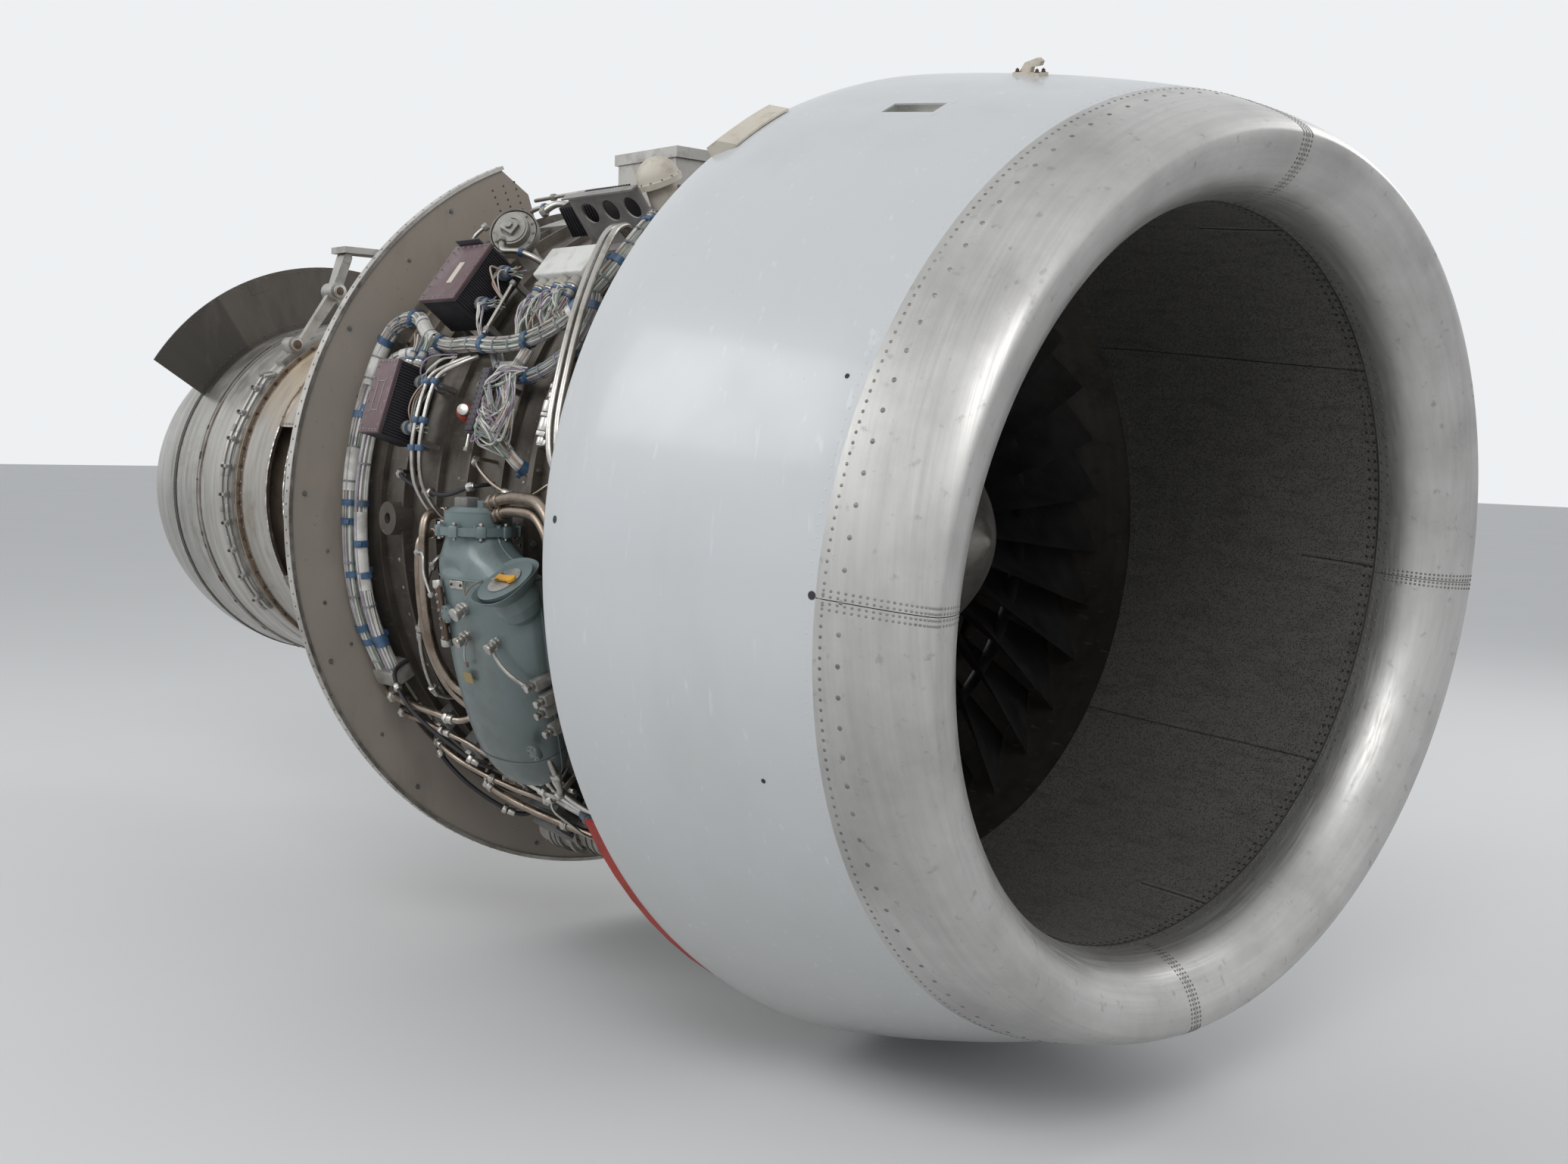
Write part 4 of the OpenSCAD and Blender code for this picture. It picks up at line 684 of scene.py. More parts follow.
PRIMER = grimy("primer", (152, 152, 138), (168, 168, 152), (104, 100, 84), 0.6, 0.0)
ROTOR = grimy("rotor_metal", (128, 124, 120), (156, 152, 147), (84, 74, 62), 0.34, 0.9)
BLUE = sleeve("clamp_blue", (54, 82, 112), (76, 104, 134))
TIE = sleeve("tie_grey", (112, 118, 124), (150, 153, 156))
BRAID = braid("harness_braid", (150, 146, 136), (104, 100, 92))
WIRES = [sleeve("wire_" + name, colour, pale) for name, colour, pale in (
    ("white", (198, 196, 190), (218, 216, 211)), ("green", (118, 136, 122), (144, 160, 147)),
    ("violet", (136, 122, 142), (160, 147, 164)), ("grey", (150, 149, 146), (178, 176, 172)),
    ("tan", (164, 142, 128), (186, 166, 152)))]
CAP_METAL = grimy("cap_metal", (168, 166, 162), (196, 194, 190), (110, 100, 86), 0.3, 0.9)

CAD_FINISH = {
    "lip_bulkhead": PRIMER, "intake_rear_ring": PRIMER, "flush_scoop": PALE, "crown_fittings": CREAM,
    "seal_strip": RED, "fan_case": CASE, "rear_fan_case": CASE, "outlet_vanes": CASE, "bulkhead_ring": RING,
    "splitter_fairing": CASE, "front_bearing_housing": CASE, "ip_compressor_case": CORE,
    "intermediate_case": CASE, "core_compressor_case": CORE, "combustion_case": CORE, "combustor": CORE,
    "fuel_nozzles": BRIGHT, "turbine_case": CORE, "turbine_bearing_support": CORE, "exhaust_case": SILVER,
    "core_fairing": CORE, "core_rear_panel": PANEL, "joint_bolts": RUST, "jet_pipe": NOZZLE,
    "exhaust_nozzle": NOZZLE, "exhaust_plug": ROTOR, "upper_rear_web": WEB, "rear_mount": MOUNT,
    "front_mount": MOUNT, "bearings": BRIGHT, "fan_disc": BLADE, "lp_shaft": ROTOR, "lp_turbine": ROTOR,
    "ip_rotor": ROTOR, "ip_turbine": ROTOR, "core_rotor": ROTOR, "core_turbine": ROTOR, "tank_top_cap": TANK,
    "filler_neck": TANK, "filler_cap": CAP_METAL, "filler_lever": YELLOW, "small_boxes": PALE,
    "holed_bracket": BRACKET, "pressure_valve": CAST, "terminal_strip": DARK, "connectors": CAST,
    "harness_clamps": BLUE, "accessory_gearbox": GEARBOX, "gearbox_units": CAST, "oil_tank": TANK,
    "upper_control_box": MAROON, "lower_control_box": MAROON, "harness": BRAID, "oil_pipes": PIPE,
    "small_pipes": BRIGHT, "intake_lip": LIP, "intake_cowl": COWL, "intake_barrel": LINER,
    "fan_blades": BLADE, "spinner": SPINNER,
}


def dress_cad_nodes():
    """Gives the CAD's own nodes their finishes; their shapes and places stay."""
    for name, finish in CAD_FINISH.items():
        mesh = cad[name].data
        mesh.materials.clear()
        mesh.materials.append(finish)


# Intake
def lip_line(inset, steps):
    """Section of the lip from the painted joint over the nose to the barrel joint, as stations and radii."""
    keep = 1 - inset / (cowl_radius(LIP_X) - HIGHLIGHT_R)
    depth = LIP_DEPTH - inset
    line = []
    for k in range(steps + 1):
        s = LIP_DEPTH * math.sin(math.radians(90 * k / steps))
        line.append((s * depth / LIP_DEPTH, HIGHLIGHT_R + (cowl_radius(LIP_X + s) - HIGHLIGHT_R) * keep))
    for k in range(1, steps + 1):
        q = math.radians(90 * k / steps)
        line.append((THROAT_S + (depth - THROAT_S) * math.cos(q),
                     HIGHLIGHT_R - (HIGHLIGHT_R - THROAT_R - inset) * math.sin(q)))
    return line + [(BARREL_S, THROAT_R + 0.002 + inset)]


def lip_at(angle, along):
    """Frame on the lip's skin; along runs from 0 at the painted joint to 1 at the barrel joint."""
    line = lip_line(0, 40)
    spot = along * (len(line) - 1)
    i = min(int(spot), len(line) - 2)
    a, b = Vector((line[i][0], 0, line[i][1])), Vector((line[i + 1][0], 0, line[i + 1][1]))
    here, ahead = a.lerp(b, spot - i), (b - a).normalized()
    out = Vector((-ahead.z, 0, ahead.x))
    if out.dot(here - Vector((0.09, 0, 1.0))) < 0:
        out = -out
    facing = Matrix((ahead, out.cross(ahead), out)).transposed().to_4x4()
    return DROOPED @ turn("X", angle) @ Matrix.Translation(here) @ facing


def build_lip():
    """Lip in four quarters, with rivet rows beside its seams and round its two edges."""
    bm = bmesh.new()
    gap = 0.05
    profile = lip_line(0, 36) + list(reversed(lip_line(SKIN, 36)))
    for quarter in range(4):
        turned(bm, profile, DROOPED, 48, 90 * quarter + gap, 90 * quarter + 90 - gap)
    piece("lip_skin", bm, [LIP], stands_for=["intake_lip"], sharp=35)
    bm = bmesh.new()
    for quarter in range(4):
        for row in (-0.95, -0.35, 0.35, 0.95):
            for k in range(1, 46):
                rivet(bm, lip_at(90 * quarter + row, k / 46), 0.0036, 0.0008)
    for count, along, shift, size, high, slot in ((330, 0.022, 0.0, 0.004, 0.0010, 0),
                                                  (110, 0.075, 0.5, 0.0058, 0.0012, 0),
                                                  (210, 0.9893, 29.679, 0.0046, 0.0010, 1),
                                                  (210, 0.9967, 29.901, 0.0046, 0.0010, 1)):
        for k in range(count):
            rivet(bm, lip_at(360 * (k + shift) / count, along), size, high, slot)
    piece("lip_rivets", bm, [RIVET, GEARBOX])


def scoop_opening():
    """Corners of the scoop's opening on the cowl, and the way out of it."""
    base = Matrix.Translation(cowl_point(0.56, 28.8)) @ turn("X", 28.8) @ turn("Y", 8)
    corners = [base @ Vector((x, y, 0)) for x, y in ((-0.073, -0.036), (0.073, -0.024), (0.070, 0.034),
                                                     (-0.075, 0.018))]
    return corners, base.to_3x3() @ Vector((0, 0, 1))


def build_cowl():
    """Skin of the cowl with the scoop's opening cut through it."""
    bm = bmesh.new()
    surface(bm, 56, 288, lambda u, v: cowl_point(u, 360 * v), True)
    corners, out = scoop_opening()
    middle = sum(corners, Vector()) / 4
    walls = [(corners[i], (corners[(i + 1) % 4] - corners[i]).cross(out)) for i in range(4)]

    def within(face, reach):
        return (face.calc_center_median() - middle).length < reach

    for corner, normal in walls:
        near = [f for f in bm.faces if within(f, 0.16)]
        geom = near + list({e for f in near for e in f.edges}) + list({v for f in near for v in f.verts})
        bmesh.ops.bisect_plane(bm, geom=geom, dist=1e-6, plane_co=corner, plane_no=normal)
    opening = [f for f in bm.faces if within(f, 0.14)
               and all(normal.dot(f.calc_center_median() - corner) * normal.dot(middle - corner) > 0
                       for corner, normal in walls)]
    bmesh.ops.delete(bm, geom=opening, context="FACES")
    bmesh.ops.recalc_face_normals(bm, faces=bm.faces)
    bmesh.ops.solidify(bm, geom=list(bm.faces), thickness=SKIN)
    piece("cowl_skin", bm, [COWL], stands_for=["intake_cowl"], sharp=50, outward=False)


def barrel_point(t, angle, add=0.0):
    """Point of the liner's inner face from its rear edge at t = 0 to the lip at t = 1."""
    a, droop = math.radians(angle), math.radians(DROOP)
    s = BARREL_S * t
    r = LINER_REAR_R + (THROAT_R + 0.002 - LINER_REAR_R) * (3 * t * t - 2 * t ** 3) + add
    up = r * math.cos(a)
    return AXIS + Vector((t * (LIP_X + s * math.cos(droop)) + up * math.sin(droop * t), -r * math.sin(a),
                          t * (LIP_Z - s * math.sin(droop)) + up * math.cos(droop * t)))


def liner_wall(u, v):
    """Forward along the liner's inner face, over its front edge and back along the outside."""
    if u < 0.48:
        return barrel_point(u / 0.48, 360 * v)
    if u <= 0.52:
        return barrel_point(1.0, 360 * v, LINER_WALL * (u - 0.48) / 0.04)
    return barrel_point(max(0.0, (0.96 - u) / 0.44), 360 * v,
                        LINER_WALL if u < 0.961 else LINER_WALL * (1 - u) / 0.04)


def build_liner():
    """Liner with its long seams, their rivets, and rivet rows round its two ends."""
    bm = bmesh.new()
    surface(bm, 50, 192, liner_wall, True)
    piece("barrel_liner", bm, [LINER], stands_for=["intake_barrel"])

    def liner_rivet(t, angle, beside, size, high, slot):
        place = Matrix.Translation(barrel_point(t, angle + beside, -0.0002)) @ turn("X", angle + 180)
        rivet(bm, place, size, high, slot)

    bm = bmesh.new()
    for first, start in ((19, 0.0), (55, 0.74)):
        for angle in range(first, 360, 72):
            seam = [barrel_point(start + (1 - start) * k / 30, angle, -0.0004) for k in range(31)]
            tube(bm, seam, 0.0014, 6, 1)
            for k in range(60):
                for beside in (-0.6, 0.6):
                    liner_rivet(start + (1 - start) * (k + 0.5) / 60, angle, beside, 0.0024, 0.0008, 2)
    for t, size, slot in ((0.03, 0.0036, 2), (0.968, 0.0046, 1), (0.988, 0.0046, 1)):
        for k in range(210):
            liner_rivet(t, 360 * (k + t) / 210, 0, size, 0.0010, slot)
    ring = [barrel_point(0.998, 360 * k / 240, -0.0006) for k in range(240)]
    tube(bm, ring + [ring[0]], 0.0022, 6, 1)
    piece("liner_rivets", bm, [RIVET, FIN, GEARBOX])


# Fan
def fan_point(r, s, face):
    """Point of a blade standing at the top; s runs from 0.5 at its front edge to -0.5, face is its side."""
    t = (r - 0.300) / 0.630
    chord, thick, bow = 0.225 + 0.040 * t, 0.015 - 0.011 * t, 0.026 - 0.017 * t
    twist, x0 = math.radians(12 + 48 * max(t, 0.0) ** 0.85), -0.226 + 0.036 * t
    hump = 1 - (2 * s) ** 2
    a = s * chord
    b = bow * hump + face * 0.5 * thick * math.sqrt(max(hump, 0.0)) - bow / 2
    px = x0 + a * math.cos(twist) - b * math.sin(twist)
    py = a * math.sin(twist) + b * math.cos(twist)
    return Vector((px, py, math.sqrt(max(r * r - py * py, 0))))


def build_blades():
    """Twisted blades with their mid-span clappers, one copied round the disc."""
    bm = bmesh.new()

    def skin(u, v):
        r = BLADE_ROOT + (BLADE_TIP - BLADE_ROOT) * u
        around = 2 * math.pi * v
        return fan_point(r, 0.5 * math.cos(around), 1 if math.sin(around) >= 0 else -1)

    surface(bm, 22, 20, skin, True)
    half = math.radians(180 / FAN_BLADES - 0.05)
    rings = []
    for angle in (-half, -half * 0.5, 0, half * 0.5, half):
        rings.append([bm.verts.new((x, -(CLAPPER_R + r) * math.sin(angle), (CLAPPER_R + r) * math.cos(angle)))
                      for x, r in ((-0.186, -0.002), (-0.200, -0.006), (-0.214, -0.007), (-0.230, -0.004),
                                   (-0.238, 0.0), (-0.230, 0.004), (-0.214, 0.006), (-0.200, 0.005))])
    edges = [[bm.edges.new((ring[i], ring[(i + 1) % 8])) for i in range(8)] for ring in rings]
    for a, b in zip(edges, edges[1:]):
        bmesh.ops.bridge_loops(bm, edges=a + b)
    for ring in (rings[0], rings[-1]):
        bm.faces.new(ring)
    first = list(bm.verts) + list(bm.edges) + list(bm.faces)
    for i in range(1, FAN_BLADES):
        made = bmesh.ops.duplicate(bm, geom=first)
        verts = [v for v in made["geom"] if isinstance(v, bmesh.types.BMVert)]
        bmesh.ops.transform(bm, matrix=turn("X", 360 * i / FAN_BLADES), verts=verts)
    bmesh.ops.transform(bm, matrix=CENTRED, verts=bm.verts)
    piece("fan_blade_set", bm, [BLADE], "lp_spool", ["fan_blades"], 50)


def build_spinner():
    """Spinner shell and the bolts round its base."""
    bm = bmesh.new()
    profile = [(SPINNER_X + SPINNER_LENGTH, 0.0)]
    for k in range(1, 37):
        profile.append((SPINNER_X + SPINNER_LENGTH * (1 - k / 36),
                        SPINNER_R * math.sin(math.radians(90 * k / 36)) ** 0.92))
    turned(bm, profile, steps=96, closed=False)
    bmesh.ops.remove_doubles(bm, verts=bm.verts, dist=1e-5)
    bmesh.ops.recalc_face_normals(bm, faces=bm.faces)
    bmesh.ops.solidify(bm, geom=list(bm.faces), thickness=0.005)
    piece("spinner_shell", bm, [SPINNER], "lp_spool", ["spinner"], 45, False)
    bm = bmesh.new()
    for k in range(24):
        bolt(bm, at(SPINNER_X + 0.018, 15 * k, SPINNER_R - 0.0025), 0.006, 0.004)
    piece("spinner_bolts", bm, [RIVET], "lp_spool")


# Fan case and its equipment
def build_case_fasteners():
    """Bolts on the front (1) or rear (-1) faces of the case's flanges, and rivets on its ribs."""
    bm = bmesh.new()
    for x, r, facing, size in ((-0.014, 0.972, -1, 0.007), (-0.468, 0.970, 1, 0.0065),
                               (-0.492, 0.970, -1, 0.0065), (-1.406, 0.974, 1, 0.0065)):
        for k in range(96):
            bolt(bm, at(x, 3.75 * (k + 0.5), r) @ turn("Y", 90 * facing), size, size * 0.9)
    for x in (-0.155, -0.345, -0.560, -0.880, -1.200):
        for k in range(72):
            rivet(bm, at(x, 5 * k + 2.5, 0.950 if x < -0.48 else 0.956), 0.006, 0.002)
    piece("case_bolts", bm, [RIVET])


WEB_FACE, SEAT_FACE, RIM_X = -1.425, -1.399, -1.435
RIM_R, RIM_START = 1.180, 23.3


def build_bulkhead_details():
    """Bright edge strips on the rim, rivets at the two slanted ends and a few fittings on the web."""
    def on_web(angle, r):
        return at(WEB_FACE, angle, r) @ turn("Y", 90)

    bm = bmesh.new()
    for k in range(170):
        rivet(bm, at(RIM_X, 24.0 + 312.0 * k / 169, RIM_R + 0.0002), 0.0042, 0.0010)
    for side in (-1, 1):
        for k in range(7):
            for i in range(3):
                rivet(bm, on_web(side * (22 + 2.2 * i), 0.990 + 0.022 * k), 0.004, 0.0013)
        for angle, r in ((46, 1.100), (70, 1.020), (96, 1.060), (104, 1.094), (112, 1.050), (128, 1.100)):
            post(bm, 0.0055, 0.004, on_web(side * angle, r), 14, 0.001, 1)
    for k in range(8):
        bolt(bm, on_web(87 + 26 * (k - 2), 1.130), 0.0056, 0.006, 1)
    for k in range(64):
        bolt(bm, at(SEAT_FACE, 22.5 + 315 * k / 63, 0.9525), 0.0045, 0.004)
    piece("bulkhead_fasteners", bm, [RUST, GEARBOX])
    bm = bmesh.new()
    for strip in (band(-1.4492, -1.4208, 1.1770, 1.1805), band(-1.4212, -1.4180, 1.1690, 1.1800)):
        turned(bm, strip, CENTRED, 200, RIM_START, 360 - RIM_START)
    piece("bulkhead_rim_strips", bm, [BRIGHT])


# Angle, centre station, half width and half depth of the tank, from its top to its foot
TANK_ROWS = [(89.5, -0.570, 0.092, 0.074), (91, -0.570, 0.098, 0.078), (92.5, -0.566, 0.120, 0.082),
             (94.5, -0.545, 0.165, 0.088), (97.5, -0.510, 0.200, 0.092), (102, -0.505, 0.205, 0.092),
             (108, -0.520, 0.203, 0.092), (114, -0.545, 0.196, 0.091), (119, -0.575, 0.186, 0.088),
             (123, -0.600, 0.172, 0.084), (126, -0.618, 0.150, 0.076), (128.2, -0.630, 0.112, 0.060),
             (129.4, -0.636, 0.060, 0.034)]
TANK_R, TANK_FLAT = 1.072, 84 / 92


def tank_row(u):
    """Angle, centre station, half width and half depth at u from the top to the foot."""
    spot = u * (len(TANK_ROWS) - 1)
    i = min(int(spot), len(TANK_ROWS) - 2)
    f = spot - i
    a, b, c, d = (TANK_ROWS[max(0, min(len(TANK_ROWS) - 1, i + k))] for k in (-1, 0, 1, 2))
    return [0.5 * (2 * q + (r - p) * f + (2 * p - 5 * q + 4 * r - s) * f * f
                   + (3 * q - p - 3 * r + s) * f ** 3) for p, q, r, s in zip(a, b, c, d)]


def tank_point(u, v, proud=0.0):
    angle, x, w, d = tank_row(u)
    q = 2 * math.pi * v
    c, s = math.cos(q), math.sin(q)
    return on_engine(x + (w + proud) * math.copysign(abs(c) ** 0.86, c), angle,
                     TANK_R + (d * TANK_FLAT + proud) * math.copysign(abs(s) ** 0.86, s))


def dented_tank(u, v):
    """The tank with the oval dent that the photo shows on its shoulder; the dent's lower edge is sharp."""
    down, across = (u - 0.272) / 0.050, (v - 0.292) / 0.052
    deep = max(0.0, 1 - across * across) * (max(0.0, 1 + down) if down < 0 else max(0.0, 1 - 3.2 * down))
    return tank_point(u, v, -0.013 * min(1.0, 1.5 * deep))


def build_tank():
    """Oil tank with its seams, sight ports, cap lugs and plate."""
    bm = bmesh.new()
    surface(bm, 96, 96, dented_tank, True)
    bmesh.ops.holes_fill(bm, edges=[e for e in bm.edges if e.is_boundary], sides=0)
    piece("oil_tank_shell", bm, [TANK], stands_for=["oil_tank"], sharp=50)
    bm = bmesh.new()
    for u in (0.30, 0.74):
        tube(bm, [tank_point(u, k / 48, 0.0015) for k in range(49)], 0.0022, 6)
    for v in (0.0, 0.5):
        tube(bm, [tank_point(0.03 + 0.94 * k / 60, v, 0.0005) for k in range(61)], 0.003, 6)
    for x, angle, r in ((-0.606, 100.9, 1.160), (-0.40, 119.5, 1.150)):
        post(bm, 0.024, 0.016, at(x, angle, r - 0.010), 32, 0.003)
        for k in range(6):
            bolt(bm, at(x, angle, r) @ turn("Z", 60 * k) @ move(0.019, 0, 0.004), 0.0028, 0.003)
    for angle in (96, 118):
        block(bm, (0.13, 0.026, 0.064), at(-0.570, angle, 0.978), 0.004)
    cap = at(-0.570, 90, TANK_R) @ turn("X", -90)
    for k in range(9):
        lug = cap @ turn("Z", 40 * k + 12) @ move(0.100, 0, -0.001)
        block(bm, (0.024, 0.026, 0.030), lug, 0.004, 2)
        post(bm, 0.0065, 0.008, lug @ move(0.001, 0, 0.015), 6, 0.001, 1)
        post(bm, 0.0050, 0.007, lug @ move(0.001, 0, -0.022), 6, 0.001, 1)
    turned(bm, band(0.0465, 0.0500, 0.070, 0.0885), cap @ turn("Y", -90), 48)
    block(bm, (0.060, 0.044, 0.034), cap @ move(-0.020, -0.022, 0.068), 0.006, 3, 2)
    block(bm, (0.090, 0.020, 0.014), cap @ move(0.030, 0.040, 0.062), 0.004, 2, 2)
    tag = Matrix.Translation(tank_point(0.318, 0.268, 0.003)) @ turn("X", 97)
    block(bm, (0.060, 0.022, 0.003), tag, 0.001, 1, 1)
    for x in (-0.022, 0.022):
        bolt(bm, tag @ move(x, 0, 0.001), 0.0032, 0.003, 3)
    piece("tank_seams_and_fittings", bm, [TANK, BRIGHT, GEARBOX, RUST])


def build_filler():
    """Splash dish and lanyard round the filler neck."""
    neck = at(-0.330, 99, 1.112) @ turn("X", -63)
    inward, outward = neck.inverted(), neck.to_3x3() @ Vector((0, 0, 1))
    bm = bmesh.new()
    dish = [(0.040, 0.052), (0.052, 0.066), (0.066, 0.082), (0.078, 0.092), (0.078, 0.094), (0.064, 0.085),
            (0.048, 0.068), (0.034, 0.054)]
    turned(bm, dish, neck @ turn("Y", -90), 64)
    for vert in bm.verts:
        x, y, _ = inward @ vert.co
        wave = math.sin(3 * math.atan2(y, x) + 1)
        vert.co += outward * (0.004 * wave * (math.hypot(x, y) - 0.05) / 0.04)
    piece("filler_dish", bm, [TANK])
    bm = bmesh.new()
    start, end = neck @ Vector((-0.088, -0.01, 0.078)), on_engine(-0.505, 96.5, 1.158)
    sag = [start.lerp(end, part) + Vector((0, -0.02, -drop)) for part, drop in ((0.25, 0.012), (0.6, 0.030))]
    tube(bm, catmull([start, *sag, end], 8), 0.0028, 6)
    piece("cap_lanyard", bm, [BRAID])


def finned(bm, size, base, place, fins):
    """Black box with fine cooling fins on its four sides and a coloured outward lid held by small screws."""
    sx, sy, sz = size
    for grow, thick, high, soft, segments, slot in ((0, sz - 0.010, (sz - 0.010) / 2, 0.004, 2, 1),
                                                    (0.010, 0.010, sz - 0.005, 0.002, 2, 0),
                                                    (0.011, 0.004, sz - 0.012, 0.001, 1, 3)):
        block(bm, (sx + grow, sy + grow, thick), place @ move(0, 0, base + high), soft, segments, slot)
    fin_z = base + sz / 2 - 0.005
    for side in (-1, 1):
        for i in range(fins):
            x, y = -sx / 2 + (i + 0.5) * sx / fins, -sy / 2 + (i + 0.5) * sy / fins
            block(bm, (0.005, sy / fins * 0.5, sz - 0.020), place @ move(side * (sx / 2 + 0.0018), y, fin_z),
                  0.0006, 1, 1)
            block(bm, (sx / fins * 0.5, 0.005, sz - 0.020), place @ move(x, side * (sy / 2 + 0.0018), fin_z),
                  0.0006, 1, 1)
    for x in (-1, 1):
        for y in (-1, 1):
            foot = place @ move(x * (sx / 2 - 0.018), y * (sy / 2 - 0.018), base / 2)
            block(bm, (0.016, 0.016, base), foot, 0.002, 1, 2)
    for i in range(6):
        along = (i + 0.5) / 6 - 0.5
        for side in (-1, 1):
            for x, y in ((along * sx, side * (sy / 2 - 0.003)), (side * (sx / 2 - 0.003), along * sy)):
                bolt(bm, place @ move(x, y, base + sz), 0.0026, 0.002, 2)


def build_boxes():
    """Two finned control boxes, the pale box, the black ribbed box and the dome canister."""
    for name, place, size in (("upper_control_box", at(-0.950, 53, 0.939), (0.175, 0.190, 0.140)),
                              ("lower_control_box", at(-1.045, 72.5, 0.939), (0.100, 0.205, 0.140))):
        bm = bmesh.new()
        finned(bm, size, 0.076, place, 26)
        lid = place @ move(0, 0, 0.076 + size[2])
        if name == "upper_control_box":
            block(bm, (0.026, 0.074, 0.0012), lid @ move(0.012, -0.004, 0.0004), 0, 1, 4)
            block(bm, (0.120, 0.004, 0.058), lid @ move(-0.022, size[1] / 2 + 0.012, -0.014), 0.001, 1, 3)
            block(bm, (0.120, 0.030, 0.004), lid @ move(-0.022, size[1] / 2 + 0.006, -0.040), 0.001, 1, 3)
        else:
            for x, y, wide, tall in ((-0.017, 0, 0.002, 0.086), (0.017, 0, 0.002, 0.086),
                                     (0, -0.042, 0.036, 0.002), (0, 0.042, 0.036, 0.002)):
                block(bm, (wide, tall, 0.0022), lid @ move(x, y, 0.0006), 0.0004, 1, 2)
            for x in (-0.022, 0.022):
                for y in (-0.046, 0.046):
                    bolt(bm, lid @ move(x, y, 0), 0.0024, 0.002, 2)
        piece(name + "_body", bm, [MAROON, FIN, BRACKET, DARK, CREAM], stands_for=[name])
    bm = bmesh.new()
    pale = at(-0.515, 50, SEAT_R)
    block(bm, (0.224, 0.100, 0.050), pale @ move(0, 0, 0.137), 0.006, 3, 0)
    block(bm, (0.232, 0.108, 0.008), pale @ move(0, 0, 0.108), 0.002, 2, 1)
    block(bm, (0.004, 0.150, 0.040), pale @ move(0.110, -0.045, 0.098), 0.001, 1, 1)
    block(bm, (0.250, 0.004, 0.060), pale @ move(0.0, -0.058, 0.088), 0.001, 1, 1)
    for x in (-0.08, 0.08):
        block(bm, (0.020, 0.040, 0.108), pale @ move(x, 0, 0.054), 0.003, 2, 1)
    for x in (-0.10, -0.033, 0.033, 0.10):
        bolt(bm, pale @ move(x, -0.0605, 0.088) @ turn("X", 90), 0.006, 0.006, 2)
    black = at(-0.735, 33.4, SEAT_R)
    block(bm, (0.210, 0.108, 0.084), black @ move(0, 0, 0.107), 0.004, 2, 3)
    for i in range(17):
        block(bm, (0.004, 0.116, 0.092), black @ move(-0.100 + 0.0125 * i, 0, 0.109), 0.001, 1, 3)
    for x in (-0.07, 0.07):
        block(bm, (0.024, 0.040, 0.066), black @ move(x, 0, 0.033), 0.003, 2, 1)
    dome = at(-0.590, 27, SEAT_R)
    profile = [(0.0, 0.044), (0.124, 0.044), (0.124, 0.066), (0.140, 0.066), (0.141, 0.0635)]
    profile += [(0.1385 + 0.0625 * math.sin(math.radians(a)), 0.0625 * math.cos(math.radians(a)))
                for a in range(8, 91, 6)]
    turned(bm, [(0.0, 0.0)] + profile + [(0.201, 0.0)], dome @ turn("Y", -90), 48, slot=4, closed=False)
    for k in range(12):
        bolt(bm, dome @ turn("Z", 30 * k) @ move(0.060, 0, 0.140), 0.004, 0.004, 2)
    bmesh.ops.remove_doubles(bm, verts=bm.verts, dist=1e-6)
    piece("small_box_set", bm, [PALE, BRACKET, RIVET, FIN, CREAM], stands_for=["small_boxes"])


# Stations, angles and radii along the bundles of wires
REAR_BUNDLE = [(-1.370, 117.6, 1.008), (-1.380, 108, 1.012), (-1.378, 98, 1.012), (-1.372, 86, 1.012),
               (-1.376, 76, 1.014), (-1.380, 67, 1.020), (-1.370, 61, 1.032), (-1.320, 57.5, 1.048),
               (-1.200, 57, 1.056), (-1.080, 60.5, 1.052), (-0.960, 62, 1.046), (-0.830, 62, 1.050),
               (-0.700, 62.5, 1.054), (-0.580, 62, 1.056), (-0.480, 60, 1.056), (-0.400, 57, 1.062),
               (-0.350, 53, 1.070), (-0.332, 48, 1.074), (-0.345, 43, 1.072), (-0.375, 39.5, 1.062),
               (-0.402, 38, 1.056)]
FRONT_BUNDLE = [(-1.305, 117.6, 1.008), (-1.308, 108, 1.012), (-1.306, 98, 1.012), (-1.302, 86, 1.012),
                (-1.304, 76, 1.012), (-1.300, 68, 1.018), (-1.270, 63.5, 1.026), (-1.190, 61.5, 1.004),
                (-1.080, 59.8, 0.990), (-0.960, 59.4, 0.988), (-0.840, 60.4, 0.992), (-0.700, 65.5, 1.010),
                (-0.560, 66.5, 1.012), (-0.440, 64, 1.020), (-0.380, 61, 1.032), (-0.350, 57, 1.052),
                (-0.362, 54.4, 1.066)]
STRIP_BUNDLE = [(-0.560, 63, 1.046), (-0.590, 67, 1.042), (-0.610, 71, 1.036), (-0.600, 75, 1.030),
                (-0.570, 78, 1.010), (-0.540, 80, 0.985), (-0.530, 81, 0.946)]


